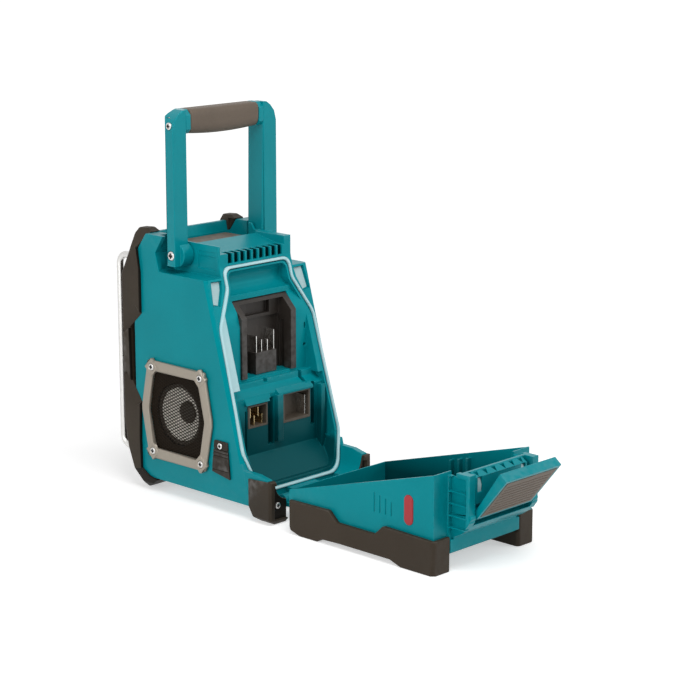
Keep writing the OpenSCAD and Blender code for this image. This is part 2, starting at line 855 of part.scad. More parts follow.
// ---- speakers, drawn on the right-hand side ----
// Outline of the frame in (y, z) from its centre: straight top and bottom
// between the lugs, sides bowed out to the middle.
function frame_outline(d) =
  let (h = frame_half - d, y = frame_screw_y + 7 - d * 0.8, z = frame_screw_z + 7.7 - d * 0.96)
  [[y, z], [h, 3], [h, -3], [y, -z], [-y, -z], [-h, -3], [-h, 3], [-y, z]];
lug_half = 7.8;
lug_rise = 0.8;
// Head of a speaker screw: its diameter, and how deep it sits in the lug.
screw_head_d = 8;
head_sunk = 1;
module speaker_frame() {
  color(frame_grey)
  difference() {
    union() {
      translate([0, -speaker_front, speaker_h])
        along_x(body_half, body_half + frame_proud)
          difference() {
            polygon(frame_outline(0));
            polygon(frame_outline(frame_rail));
          }
      // square lugs that stand on their corners
      both_ways()
        translate([body_half, 0, 0])
          rotate([45, 0, 0])
            span([0, -lug_half, -lug_half], [frame_proud + lug_rise, lug_half, lug_half]);
    }
    // the lugs cut the corners of the opening, over the grille
    translate([0, -speaker_front, speaker_h])
      along_x(body_half - 1, body_half + grille_t + gap)
        polygon(frame_outline(frame_rail));
    both_ways() {
      rod_x(body_half - 1, body_half + 9, 0, 0, 3.4);
      rod_x(body_half + frame_proud - head_sunk, body_half + 9, 0, 0, screw_head_d + 0.6);
    }
  }
}
module speaker_frame_right() { speaker_frame(); }
module speaker_frame_left() { mirror([1, 0, 0]) speaker_frame(); }
grille_t = 1;
module grille() {
  color([0.12, 0.11, 0.10])
  translate([0, -speaker_front, speaker_h])
    along_x(body_half, body_half + grille_t)
      polygon(frame_outline(frame_rail + 0.2));
}
module grille_right() { grille(); }
module grille_left() { mirror([1, 0, 0]) grille(); }
// Cone and dust cap as one thin body of revolution about the speaker's axis.
module speaker_cone() {
  color([0.70, 0.69, 0.66])
  translate([body_half - wall - 1, -speaker_front, speaker_h])
    rotate([0, 90, 0])
      rotate_extrude()
        polygon([
          [0, -10], [cap_d / 2, -13], [cone_d / 2 - 2, -1], [cone_d / 2 + 2, 1], [cone_d / 2 + 4, -0.6],
          [cone_d / 2 + 4, 0.4], [cone_d / 2 + 2, 2], [cone_d / 2 - 3, 0], [cap_d / 2 + 1, -11.6],
          [cap_d / 4, -7], [0, -6]]);
}
module speaker_cone_right() { speaker_cone(); }
module speaker_cone_left() { mirror([1, 0, 0]) speaker_cone(); }
module driver() {
  color([0.25, 0.25, 0.26])
  translate([body_half - wall, -speaker_front, speaker_h])
    rotate([0, 90, 0])
      rotate_extrude()
        polygon([
          [0, -32], [cap_d, -32], [cap_d, -20], [cap_d / 2 + 8, -20], [cap_d / 2 + 8, -18],
          [cone_d / 2 + 5, -4], [cone_d / 2 + 10, -4], [cone_d / 2 + 10, 0], [cone_d / 2 + 5.5, 0],
          [cone_d / 2 + 5.5, -2.5], [cone_d / 2 + 3.5, -2.5], [cap_d / 2 + 6, -15.5], [0, -15.5]]);
}
module driver_right() { driver(); }
module driver_left() { mirror([1, 0, 0]) driver(); }
module speaker_screws() {
  color(steel)
  both_sides()
    both_ways()
      difference() {
        union() {
          rod_x(body_half - wall - 2, body_half + frame_proud - head_sunk + eps, 0, 0, 3.2);
          rod_x(body_half + frame_proud - head_sunk, body_half + frame_proud + 0.9, 0, 0, screw_head_d);
        }
        rod_x(body_half + frame_proud, body_half + frame_proud + 2, 0, 0, 3);
      }
}

// ---- service ports behind the rubber cover ----
module port_jacks() {
  color([0.1, 0.1, 0.1])
  for (jack = jacks)
    translate([0, port[0], jack[0]])
      difference() {
        union() {
          rod_x(body_half - 16, body_half - 8, 0, 0, jack_d);
          span([body_half - 24, -6, -4.9], [body_half - 14, 6, 4.9]);
        }
        difference() {
          rod_x(body_half - 20, body_half, 0, 0, jack[1]);
          rod_x(body_half - 21, body_half - 10, 0, 0, jack[2] + eps);
        }
      }
}
cover_t = 2.5;
cover_split = port[1] + port_h / 2 - 10;
module cover_outline() {
  polygon([
    [port[0] - port_w / 2 + 2, port[1] + port_h / 2], [port[0] + port_w / 2 - 1, port[1] + port_h / 2],
    [port[0] + port_w / 2 + 3, port[1] - port_h / 2 - 2], [port[0] - port_w / 2 - 2, port[1] - port_h / 2 + 3]]);
}
module port_cover_tab() {
  color(rubber)
  difference() {
    intersection() {
      along_x(body_half, body_half + cover_t)
        cover_outline();
      span([0, 0, cover_split + gap / 2], [200, 100, 200]);
    }
    rod_x(body_half - 1, body_half + 9, port[0], port_screw_z, 2.6);
  }
}
module port_cover_screw() {
  color(steel)
  difference() {
    union() {
      rod_x(skin_half - 3, body_half + cover_t, port[0], port_screw_z, 2.5);
      rod_x(body_half + cover_t, body_half + cover_t + 1.4, port[0], port_screw_z, 7);
    }
    rod_x(body_half + cover_t + 0.4, body_half + cover_t + 2, port[0], port_screw_z, 2.6);
  }
}
module port_cover() {
  color(rubber)
  difference() {
    intersection() {
      along_x(body_half + gap, body_half + cover_t)
        cover_outline();
      span([0, 0, 0], [200, 100, cover_split - gap / 2]);
    }
    // grooves that the cover bends at, and a finger lip below
    for (z = [cover_split - 4, cover_split - 8, port[1] - port_h / 2 + 6])
      span([body_half + cover_t - 0.7, 0, z], [body_half + cover_t + 1, 100, z + 0.9]);
  }
}

// ================= handle =================
handle_half = handle_w / 2;
leg_inner = handle_half - leg_w - 2.5;
leg_front = -pivot_front - leg_d + 7;
leg_back = -pivot_front + 7;
handle_top = pivot_h + handle_reach;
grip_half = 52;
grip_bow = 500;
hub_d = 27;
// Section of a leg in (x, y): a deep chamfer at its outer front corner.
module leg_section() {
  polygon([
    [handle_half, leg_back], [handle_half, leg_back - 13], [handle_half - 11, leg_front],
    [leg_inner, leg_front], [leg_inner, leg_back - 3.5],
    [handle_half - leg_w + 0.5, leg_back]]);
}
module handle_leg() {
  color(teal)
  difference() {
    union() {
      intersection() {
        translate([0, 0, pivot_h - 12])
          linear_extrude(handle_reach + 12)
            leg_section();
        // tapered towards the top, with a mitred top corner
        along_y(-80, -20)
          polygon([
            [leg_inner, pivot_h - 12], [handle_half, pivot_h - 12], [handle_half, handle_top - 22],
            [handle_half - 3, handle_top - 11], [handle_half - 9, handle_top - 4], [handle_half - 15, handle_top],
            [handle_half - leg_w, handle_top]]);
        along_x(0, 100)
          polygon([
            [leg_front, 0], [leg_front, handle_top - 20], [leg_front + 3.5, handle_top - 9],
            [leg_front + 10, handle_top], [leg_back, handle_top], [leg_back, 0]]);
      }
      // arm of the corner that runs into the grip
      intersection() {
        span([grip_half, leg_front, handle_top - 27], [handle_half - leg_w + eps, leg_back, handle_top]);
        along_x(0, 100)
          arm_outline(0);
      }
      rod_x(leg_inner - 0.3, handle_half - 8, -pivot_front, pivot_h, hub_d);
    }
    rod_x(crown_half, handle_half + 1, -pivot_front, pivot_h, pivot_d + 2 * fit);
    rod_x(handle_half - 3, handle_half + 1, -pivot_front, pivot_h, 11);
    rod_x(0, handle_half - 5, (leg_front + leg_back) / 2, handle_top - 14, 12);
    rod_x(handle_half - 6, handle_half + 1, -pivot_front, handle_top - 17, 4);
    rod_x(handle_half - 1.6, handle_half + 1, -pivot_front, handle_top - 17, 8.4);
  }
}
// Outline (y, z) of the bar between the legs, drawn in by d.
module arm_outline(d) {
  polygon([
    [leg_front + d, handle_top - 27 + 5], [leg_front + 5, handle_top - 27 + d], [leg_back - 5, handle_top - 27 + d],
    [leg_back - d, handle_top - 27 + 5], [leg_back - d, handle_top - 6], [leg_back - 6, handle_top - d],
    [leg_front + 6, handle_top - d], [leg_front + d, handle_top - 6]]);
}
module handle_leg_right() { handle_leg(); }
module handle_leg_left() { mirror([1, 0, 0]) handle_leg(); }
module handle_core() {
  color(steel)
  rod_x(-handle_half + 6.2, handle_half - 6.2, (leg_front + leg_back) / 2, handle_top - 14, 12 - 2 * fit);
}
module handle_grip() {
  color(taupe)
  difference() {
    union() {
      along_x(-grip_half + 0.05, grip_half - 0.05)
        arm_outline(0);
      // bowed underside
      intersection() {
        span([-grip_half + 0.05, leg_front + 5, handle_top - 30], [grip_half - 0.05, leg_back - 5, handle_top - 20]);
        translate([0, 0, handle_top - 30 + grip_bow])
          rotate([90, 0, 0])
            cylinder(h = 200, r = grip_bow, center = true, $fn = 360);
      }
    }
    rod_x(-60, 60, (leg_front + leg_back) / 2, handle_top - 14, 12);
  }
}
module handle_screws() {
  color(steel)
  both_sides() {
    rod_x(handle_half - 5.9, handle_half - 1.5, -pivot_front, handle_top - 17, 3.9);
    rod_x(handle_half - 1.55, handle_half + 0.9, -pivot_front, handle_top - 17, 8);
  }
}
module handle_pivot_bolts() {
  color(steel)
  both_sides()
    difference() {
      union() {
        rod_x(crown_half - cheek - 6, handle_half - 3 + gap, -pivot_front, pivot_h, pivot_d - 2 * eps);
        rod_x(handle_half - 3 + gap, handle_half + 0.8, -pivot_front, pivot_h, 10.2);
      }
      rod_x(handle_half - 1, handle_half + 2, -pivot_front, pivot_h, 4);
    }
}

// ================= battery door =================
door_half = door_w / 2;
door_start = hinge_y + 38.5;
door_floor = 17;
rim_low = 47.2;
function door_rim(y) = rim_low + (y - door_start) * 0.2805;
apron_y = door_end + 5;
block_end = door_end + block_len;
block_top = 106;
lever_pin = [block_end - 2.7, 61];
slot_half = lever_half + gap + 1.2;
tongue_half = lever_half - wall - 0.6;
module door_tray() {
  color(teal)
  difference() {
    union() {
      // wedge-shaped tray
      difference() {
        along_x(-door_half, door_half)
          polygon([
            [door_start, door_floor + 2], [door_start + 3, door_floor], [door_end, door_floor],
            [door_end, door_rim(door_end)], [door_start, rim_low]]);
        along_x(-door_half + wall, door_half - wall)
          polygon([
            [door_start + wall, door_floor + wall + 2], [door_end - wall, door_floor + wall + 2],
            [door_end - wall, 200], [door_start + wall, 200]]);
      }
      latch_block();
      both_sides()
        rod_x(slot_half, block_half - 1, lever_pin[0], lever_pin[1], 8);
      // ribs inside the tray
      intersection() {
        span([-door_half, door_start, 0], [door_half, door_end, 200]);
        for (x = [-1, 1], y = [243, 255, 267])
          translate([x * (door_half - wall), y, door_floor + wall])
            span([-6, -1.5, 0], [6, 1.5, door_rim(y) - door_floor - wall - 5]);
      }
      hinge_plate();
    }
    // the block is open towards the tray
    span([-block_half + 6, door_end - 6, 42], [block_half - 6, block_end - 15, 200]);
    rod_x(-60, 60, hinge_y, hinge_h, hinge_pin_d + 2 * fit);
    rod_x(-53, 53, lever_pin[0], lever_pin[1], 3 + 2 * fit);
    both_sides()
      badge_outline(0.05);
    vent_marks();
  }
}
// Block at the end of the tray: an apron below, side posts and a tongue that
// the hollow lever closes over.
module latch_block() {
  difference() {
    along_x(-block_half, block_half)
      polygon([
        [door_end - eps, 20], [apron_y, 20], [apron_y, 36], [apron_y + 8, 40], [apron_y + 17, 46],
        [block_end, lever_pin[1] - 5], [block_end, block_top], [block_end - 18, block_top],
        [block_end - 18, block_top - 6], [door_end - eps, door_rim(door_end) - 4]]);
    span([-slot_half, block_end - 11, lever_pin[1] - 9], [slot_half, block_end + 1, block_top + 1]);
    both_sides()
      side_pockets();
  }
  difference() {
    along_x(-tongue_half, tongue_half)
      polygon([
        [block_end - 12, 48], [block_end - 11, lever_pin[1] - 9], [lever_pin[0] - 4.4, lever_pin[1] - 6],
        [lever_pin[0] - 4.4, 69.5], [block_end - 3.6, 73], [block_end - 3.6, 100.8], [block_end - 12, block_top]]);
    hole_row();
    clip_pocket();
  }
}
module side_pockets() {
  difference() {
    span([block_half - 5, door_end + 2, 34], [block_half + 1, block_end - 5, block_top - 5]);
    for (k = [0:3])
      span([block_half - 6, door_end, 46 + k * 12.8], [block_half - 0.6, block_end, 47.4 + k * 12.8]);
    translate([0, block_end - 10, 40])
      rotate([45, 0, 0])
        span([block_half - 7, -30, -60], [block_half + 2, 30, 0]);
  }
}
hole_count = 6;
clip_y = block_end - 9.5;
module hole_row() {
  for (i = [0:hole_count - 1])
    translate([(i - (hole_count - 1) / 2) * 14, 0, 0])
      along_z_tri(block_end - 10.5, block_top - 14);
}
module along_z_tri(y, z) {
  translate([0, y, z])
    linear_extrude(20)
      polygon([[-3.4, 0], [3.4, 0], [0, 6]]);
}
module hinge_plate() {
  both_sides()
    rod_x(22, 49, hinge_y, hinge_h, 15);
  both_sides()
    span([22, hinge_y, hinge_h - 5], [49, door_start + 4, hinge_h - 0.4]);
  span([-49, hinge_y + 12, hinge_h - 5], [49, door_start + 4, hinge_h - 0.4]);
}
module vent_marks() {
  for (k = [0:3])
    span([door_half - 0.6, 264 + k * 8, 50], [door_half + 1, 265.5 + k * 8, 71 - 2 * k]);
}
badge_y = 313;
badge_z = 62;
badge_w = 12;
badge_h = 32;
module badge_outline(g) {
  for (s = [-1, 1])
    rod_x(door_half - 0.8 - g, door_half + 0.7, badge_y, badge_z + s * (badge_h - badge_w) / 2, badge_w + 2 * g);
  span([door_half - 0.8 - g, badge_y - badge_w / 2 - g, badge_z - (badge_h - badge_w) / 2],
    [door_half + 0.7, badge_y + badge_w / 2 + g, badge_z + (badge_h - badge_w) / 2]);
}
module door_badges() {
  color([0.70, 0.08, 0.10])
  both_sides()
    badge_outline(0);
}
bumper_half = door_feet_w / 2;
foot_inner = 53.7;
foot_end = 352;
module door_bumper() {
  color(rubber)
  difference() {
    intersection() {
      along_x(foot_inner, bumper_half)
        polygon([
          [143, 37.5], [139, 19], [146, 4], [160, 0], [186, 0], [192, 4], [218, 5], [265, 5], [291, 5],
          [306, 0], [foot_end, 0], [foot_end, 37], [281, 38.5], [269, 27.5], [215, 27.5], [203, 38.5]]);
      linear_extrude(60)
        polygon([
          [foot_inner, 146], [foot_inner + 5, 139], [bumper_half - 6, 139], [bumper_half, 145],
          [bumper_half, foot_end - 4], [bumper_half - 4, foot_end], [foot_inner + 3, foot_end], [foot_inner, foot_end - 3]]);
    }
    // room for the tray, the floor between the feet and the block
    span([0, 130, door_floor], [door_half, door_end, 60]);
    span([0, 188, -1], [68, 304, 60]);
    span([0, door_end - 1, door_floor], [block_half, apron_y + 1, 60]);
  }
}
module door_bumper_right() { door_bumper(); }
module door_bumper_left() { mirror([1, 0, 0]) door_bumper(); }

// ================= latch =================
module latch_pin() {
  color(steel)
  rod_x(-52, 52, lever_pin[0], lever_pin[1], 3);
}
// The lever is drawn closed, standing upright, and turned out to its open place.
module at_lever() {
  translate([0, lever_pin[0], lever_pin[1]])
    rotate([-lever_lean, 0, 0])
      children();
}
module latch_lever() {
  color(teal)
  at_lever()
    difference() {
      along_x(-lever_half, lever_half)
        polygon([
          [-2.6, -2.6], [2.6, -2.6], [4, 0], [4, lever_len], [4 - lever_t, lever_len],
          [4 - lever_t, lever_len - 3], [-2.6, 4]]);
      along_x(-lever_half + wall, lever_half - wall)
        polygon([[-20, 7], [1, 7], [1, lever_len - wall], [-20, lever_len - wall]]);
      rod_x(-60, 60, 0, 0, 3 + 2 * fit);
      along_x(-lever_half + 4, lever_half - 4)
        polygon([[2.8, 3], [5, 3], [5, lever_len - 4], [2.8, lever_len - 4]]);
    }
}
module latch_pad() {
  color(taupe)
  at_lever()
    difference() {
      along_x(-lever_half + 4.05, lever_half - 4.05)
        polygon([[2.8, 3.05], [4.5, 3.05], [4.5, lever_len - 4.05], [2.8, lever_len - 4.05]]);
      for (k = [0:8])
        span([-lever_half + 9, 3.9, 7 + k * 5.2], [lever_half - 9, 5, 8.4 + k * 5.2]);
    }
}
// Spring clips in pockets of the tongue, which hold the closed lever.
clip_x = [31.5, 37.5];
clip_z = [85, 101];
module clip_pocket() {
  both_sides()
    span([clip_x[0] - 0.5, clip_y, clip_z[0]], [clip_x[1] + 0.5, block_end, clip_z[1]]);
}
module latch_clips() {
  color(seal_tint)
  both_sides()
    along_x(clip_x[0], clip_x[1])
      polygon([
        [clip_y, clip_z[0]], [block_end - 4.5, clip_z[0]], [block_end - 4, clip_z[0] + 7],
        [block_end - 6, clip_z[1] - 2], [block_end - 7, clip_z[1] - 2], [block_end - 5.4, clip_z[0] + 7],
        [block_end - 5.8, clip_z[0] + 1.5], [clip_y + 1.4, clip_z[0] + 1.5], [clip_y + 1.4, clip_z[1]],
        [clip_y, clip_z[1]]]);
}

// Depth of the whole object's middle behind the middle of the cabinet.
mid_y = round((lever_pin[0] + lever_len * sin(lever_lean) + 4 * cos(lever_lean) + bar_y - bar_d / 2) / 2);
module centred() {
  translate([0, -mid_y, 0])
    children();
}

centred() main_housing();
centred() battery_bay();
centred() bay_gasket();
centred() big_socket();
centred() big_socket_blades();
centred() small_socket();
centred() small_socket_contacts();
centred() slide_socket();
centred() slide_socket_contacts();
centred() front_panel();
centred() display_lens();
centred() display_module();
centred() main_board();
centred() amplifier_board();
centred() aerial();
centred() bumper_right();
centred() bumper_left();
centred() guard_bar_right();
centred() guard_bar_left();
centred() speaker_frame_right();
centred() speaker_frame_left();
centred() grille_right();
centred() grille_left();
centred() speaker_cone_right();
centred() speaker_cone_left();
centred() driver_right();
centred() driver_left();
centred() speaker_screws();
centred() rear_foot_right();
centred() rear_foot_left();
centred() foot_screws();
centred() hinge_pin();
centred() top_pad();
centred() catch_plates();
centred() port_jacks();
centred() port_cover_tab();
centred() port_cover_screw();
centred() handle_pivot_bolts();
centred() port_cover();
centred() handle_leg_right();
centred() handle_leg_left();
centred() handle_core();
centred() handle_grip();
centred() handle_screws();
centred() door_tray();
centred() door_bumper_right();
centred() door_bumper_left();
centred() door_badges();
centred() latch_pin();
centred() latch_lever();
centred() latch_pad();
centred() latch_clips();
centred() tuning_dial();
centred() power_button();
centred() mode_button();
centred() menu_button();
centred() preset_button_1();
centred() preset_button_2();
centred() preset_button_3();
centred() preset_button_4();
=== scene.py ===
"""Finish and fine detail of a jobsite radio with a fold-down battery door.

Every piece is in metres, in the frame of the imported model. The front with the
display looks along -Y, the battery door opens along +Y.
"""
import json
import math

import bmesh
import bpy
import numpy as np
from bpy.props import FloatProperty, FloatVectorProperty, IntProperty, PointerProperty
from bpy.types import Operator, Panel, PropertyGroup
from mathutils import Matrix, Vector
from mathutils.bvhtree import BVHTree


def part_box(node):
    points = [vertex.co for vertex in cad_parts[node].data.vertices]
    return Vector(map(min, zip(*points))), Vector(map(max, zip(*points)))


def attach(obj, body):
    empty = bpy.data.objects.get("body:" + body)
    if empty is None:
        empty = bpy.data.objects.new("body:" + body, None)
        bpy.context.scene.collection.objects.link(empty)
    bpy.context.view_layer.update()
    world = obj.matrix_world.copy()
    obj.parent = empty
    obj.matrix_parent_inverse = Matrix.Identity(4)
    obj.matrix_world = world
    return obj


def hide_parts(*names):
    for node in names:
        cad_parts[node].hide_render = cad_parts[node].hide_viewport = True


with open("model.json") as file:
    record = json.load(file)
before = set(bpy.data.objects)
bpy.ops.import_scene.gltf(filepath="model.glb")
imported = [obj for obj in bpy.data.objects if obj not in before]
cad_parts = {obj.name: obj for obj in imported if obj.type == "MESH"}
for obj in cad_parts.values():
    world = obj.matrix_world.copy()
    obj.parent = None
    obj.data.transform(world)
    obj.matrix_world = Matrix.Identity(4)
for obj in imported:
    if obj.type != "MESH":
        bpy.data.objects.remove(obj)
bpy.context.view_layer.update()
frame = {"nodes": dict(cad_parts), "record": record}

bl_info = {
    "name": "Jobsite Radio",
    "version": (1, 0, 0),
    "blender": (4, 5, 0),
    "location": "View3D > Sidebar > Radio",
    "description": "Builds the finish and the fine detail of a jobsite radio",
    "category": "Object",
}

MM = 0.001
SLOT_OF = {part["node"]: part["material_slot"] for part in frame["record"]["subparts"]}


def colour(name, about, default):
    """A colour property, linear RGB."""
    return FloatVectorProperty(
        name=name, description=about, subtype="COLOR", size=3, min=0.0, max=1.0, default=default)


def length(name, about, default):
    """A length property in metres."""
    return FloatProperty(name=name, description=about, unit="LENGTH", default=default)


class RadioColours(PropertyGroup):
    """Colours of the radio's mouldings, rubbers and metals."""

    housing: colour("Housing", "Plastic of the housing, door and handle", (0.0006, 0.245, 0.285))
    housing_deep: colour("Housing shade", "Darker tone that drifts over the plastic", (0.0004, 0.215, 0.252))
    seal: colour("Seal", "Soft seal round the battery opening", (0.36, 0.62, 0.66))
    guard: colour("Guard rubber", "Rubber of the cabinet's bumpers and feet", (0.042, 0.031, 0.020))
    door_guard: colour("Door rubber", "Rubber along the door's lower edge", (0.041, 0.029, 0.018))
    grip: colour("Grip rubber", "Rubber of the grip and the latch pad", (0.135, 0.103, 0.076))
    frame: colour("Speaker frame", "Metallic paint of the speaker frames", (0.34, 0.30, 0.245))
    steel: colour("Steel", "Plated steel of screws and guard bars", (0.72, 0.71, 0.69))
    badge: colour("Badge", "Bare badge on the door's side", (0.42, 0.006, 0.014))


class RadioDetail(PropertyGroup):
    """Sizes of the edges, the speaker mesh and the mouldings' texture."""

    edge: length("Edge radius", "Rounding of the hard plastic's edges", 0.55 * MM)
    rubber_edge: length("Rubber edge", "Rounding of the rubber's edges", 1.5 * MM)
    bead: length("Seal bead", "Rounding of the seal's crown", 1.3 * MM)
    facet: length("Frame facet", "Chamfer along the speaker frame", 1.3 * MM)
    cell_long: length("Mesh cell length", "Long diagonal of a cell of the speaker mesh", 7.3 * MM)
    cell_short: length("Mesh cell height", "Short diagonal of a cell of the speaker mesh", 3.65 * MM)
    strand: length("Mesh strand", "Width of a strand of the speaker mesh", 1.05 * MM)
    grain: length("Grain", "Size of the spark-eroded grain in the plastic", 0.5 * MM)
    knurls: IntProperty(name="Knurls", description="Ridges round the tuning dial", default=48, min=12, max=90)


class RadioStage(PropertyGroup):
    """Floor, lamps and camera."""

    lens: FloatProperty(name="Lens", description="Focal length in millimetres", default=110.29)
    ambient: FloatProperty(name="Ambient", description="Strength of the light from all round", default=0.34)
    above: FloatProperty(name="Above", description="Power of the large lamp above", default=19.0)
    side: FloatProperty(name="Side", description="Power of the lamp beside the speaker", default=14.0)
    back: FloatProperty(name="Back", description="Power of the lamp behind the battery door", default=9.0)


# ---- node groups ----
GROUPS = {}


def feed(tree, socket, value):
    """Sets a socket to a value, or links another node's socket to it."""
    if isinstance(value, bpy.types.NodeSocket):
        tree.links.new(value, socket)
    else:
        socket.default_value = value


def node(tree, kind, links=None, **settings):
    """Adds a node. links maps a socket's name or number to a value or to another node's socket."""
    made = tree.nodes.new("ShaderNode" + kind)
    for key, value in settings.items():
        setattr(made, key, value)
    for key, value in (links or {}).items():
        feed(tree, made.inputs[key], value)
    return made


def maths(tree, operation, a, b=0.0):
    """The result of one Math node."""
    return node(tree, "Math", {0: a, 1: b}, operation=operation).outputs[0]


def ramp(tree, value, low, high):
    """How far a value has come from low to high, held between 0 and 1."""
    return node(tree, "MapRange", {"Value": value, "From Min": low, "From Max": high}, clamp=True).outputs[0]


def noise(tree, vector, scale, detail, **more):
    """The value of one Noise texture."""
    return node(tree, "TexNoise", {"Vector": vector, "Scale": scale, "Detail": detail, **more}).outputs[0]


def blend(tree, share, a, b):
    """Two colours mixed by share, as a colour socket."""
    mix = node(tree, "Mix", data_type="RGBA")
    for socket, value in zip([s for s in mix.inputs if s.enabled], (share, a, b)):
        feed(tree, socket, value)
    return next(s for s in mix.outputs if s.enabled)


def shader_group(name, inputs, outputs):
    """An empty node group and its inner sockets; inputs and outputs map a socket's name to its kind."""
    tree = bpy.data.node_groups.new(name, "ShaderNodeTree")
    for direction, sockets in (("INPUT", inputs), ("OUTPUT", outputs)):
        for label, kind in sockets.items():
            tree.interface.new_socket(label, in_out=direction, socket_type="NodeSocket" + kind)
    return tree, tree.nodes.new("NodeGroupInput").outputs, tree.nodes.new("NodeGroupOutput").inputs


def use(tree, build, **links):
    """Places a node group, joins its named inputs and gives its outputs. build makes it at its first use."""
    if build not in GROUPS:
        GROUPS[build] = build()
    placed = tree.nodes.new("ShaderNodeGroup")
    placed.node_tree = GROUPS[build]
    for key, value in links.items():
        feed(tree, placed.inputs[key], value)
    return placed.outputs


def moulded_grain():
    """Height of a spark-eroded mould: fine noise with shallow round pits between."""
    tree, given, out = shader_group(
        "moulded_grain", {"Vector": "Vector", "Size": "Float"}, {"Height": "Float"})
    scale = maths(tree, "DIVIDE", 1.0, given["Size"])
    fine = noise(tree, given["Vector"], scale, 2.0, Roughness=0.6)
    pits = node(tree, "TexVoronoi", {"Vector": given["Vector"], "Scale": scale, "Smoothness": 0.6},
                feature="SMOOTH_F1").outputs["Distance"]
    feed(tree, out["Height"], maths(tree, "ADD", fine, maths(tree, "MULTIPLY", pits, 0.6)))
    return tree


def tone_drift():
    """Drifts slowly between two tones of one colour, with a finer fleck on top."""
    tree, given, out = shader_group(
        "tone_drift", {"Vector": "Vector", "Tone": "Color", "Shade": "Color", "Size": "Float"},
        {"Colour": "Color"})
    scale = maths(tree, "DIVIDE", 1.0, given["Size"])
    broad = noise(tree, given["Vector"], scale, 3.0)
    fleck = noise(tree, given["Vector"], maths(tree, "MULTIPLY", scale, 22.0), 2.0)
    share = ramp(tree, maths(tree, "ADD", broad, maths(tree, "MULTIPLY", fleck, 0.35)), 0.45, 0.9)
    feed(tree, out["Colour"], blend(tree, share, given["Tone"], given["Shade"]))
    return tree


def painted_edge_glint():
    """Paints a paler tone along outward edges, a painted highlight broken up by noise."""
    tree, given, out = shader_group(
        "painted_edge_glint", {"Vector": "Vector", "Colour": "Color", "Rub": "Color", "Amount": "Float"},
        {"Colour": "Color"})
    ridge = ramp(tree, node(tree, "NewGeometry").outputs["Pointiness"], 0.53, 0.62)
    broken = ramp(tree, noise(tree, given["Vector"], 140.0, 3.0), 0.35, 0.62)
    mask = maths(tree, "MULTIPLY", maths(tree, "MULTIPLY", ridge, broken), given["Amount"])
    feed(tree, out["Colour"], blend(tree, mask, given["Colour"], given["Rub"]))
    return tree


def smudged_gloss():
    """Roughness that varies in soft patches, as handled plastic does."""
    tree, given, out = shader_group(
        "smudged_gloss", {"Vector": "Vector", "Roughness": "Float", "Spread": "Float", "Size": "Float"},
        {"Roughness": "Float"})
    patches = noise(tree, given["Vector"], maths(tree, "DIVIDE", 1.0, given["Size"]), 4.0, Distortion=0.6)
    offset = maths(tree, "MULTIPLY", maths(tree, "SUBTRACT", patches, 0.5), given["Spread"])
    feed(tree, out["Roughness"], maths(tree, "ADD", given["Roughness"], offset))
    return tree


def brushed():
    """Fine scratches drawn out along Z, as height and as a mask."""
    tree, given, out = shader_group(
        "brushed", {"Vector": "Vector", "Size": "Float"}, {"Height": "Float", "Mask": "Float"})
    drawn = node(tree, "Mapping", {"Vector": given["Vector"], "Scale": (1.0, 1.0, 0.06)}).outputs[0]
    lines = noise(tree, drawn, maths(tree, "DIVIDE", 1.0, given["Size"]), 3.0)
    feed(tree, out["Height"], lines)
    feed(tree, out["Mask"], ramp(tree, lines, 0.4, 0.7))
    return tree


def painted_hollow_shade():
    """Paints shade into a colour inside a box, where little light gets in.

    The box is the same on both sides of the middle, so the point's X counts without its sign. The mask
    is the product, over the three axes, of how far the point lies inside each side, held between 0 and 1.
    It is counted in soft widths from the high sides, and in the width SHARP from the low ones."""
    tree, given, out = shader_group(
        "painted_hollow_shade", {"Vector": "Vector", "Colour": "Color", "Low": "Vector", "High": "Vector",
                         "Soft": "Vector", "Amount": "Float"}, {"Colour": "Color"})
    x, y, z = node(tree, "SeparateXYZ", {0: given["Vector"]}).outputs
    point = node(tree, "CombineXYZ", {0: maths(tree, "ABSOLUTE", x), 1: y, 2: z}).outputs[0]
    mask = given["Amount"]
    for a, b, width in ((point, given["Low"], (SHARP,) * 3), (given["High"], point, given["Soft"])):
        inside = node(tree, "VectorMath", {0: a, 1: b}, operation="SUBTRACT").outputs["Vector"]
        share = node(tree, "VectorMath", {0: inside, 1: width}, operation="DIVIDE").outputs["Vector"]
        for part in node(tree, "SeparateXYZ", {0: share}).outputs:
            mask = maths(tree, "MULTIPLY", mask, node(tree, "Clamp", {"Value": part}).outputs[0])
    feed(tree, out["Colour"], blend(tree, mask, given["Colour"], (0, 0, 0, 1)))
    return tree


# ---- materials ----
MATERIALS = {}
SHARP = 0.4 * MM
DRIFT, PATCH = 60 * MM, 20 * MM

# Hollows that get a painted shade, between the crown's vents, in the lower bay and in the door's tray:
# their corners and soft widths, and how dark the painted shade gets.
VENT_PAINTED_SHADE = {"Low": (-0.0100, -0.1660, 0.2715), "High": (0.0430, -0.1285, 0.2838),
               "Soft": (0.0004, 0.0004, 0.0008), "Amount": 0.88}
BAY_PAINTED_SHADE = {"Low": (-0.0100, -0.1600, 0.0), "High": (0.0705, 0.0, 0.1340),
              "Soft": (0.004, 0.004, 0.040), "Amount": 0.78}
TRAY_PAINTED_SHADE = {"Low": (-0.0100, 0.0055, 0.0189), "High": (0.0758, 0.2095, 0.0980),
               "Soft": (0.0008, 0.003, 0.058), "Amount": 0.82}


def rgba(values):
    """Three linear values with full alpha."""
    return (*values, 1.0)


def paler(values, by):
    """A colour moved towards white by a share."""
    return tuple(v + (1.0 - v) * by for v in values)


def darker(values, left):
    """A colour of which only a share is left."""
    return tuple(v * left for v in values)


def new_material(name):
    """A material with a Principled shader, and the Object coordinates of its piece."""
    material = bpy.data.materials.new(name)
    material.use_nodes = True
    MATERIALS[name] = material
    tree = material.node_tree
    return tree, tree.nodes["Principled BSDF"].inputs, node(tree, "TexCoord").outputs["Object"]


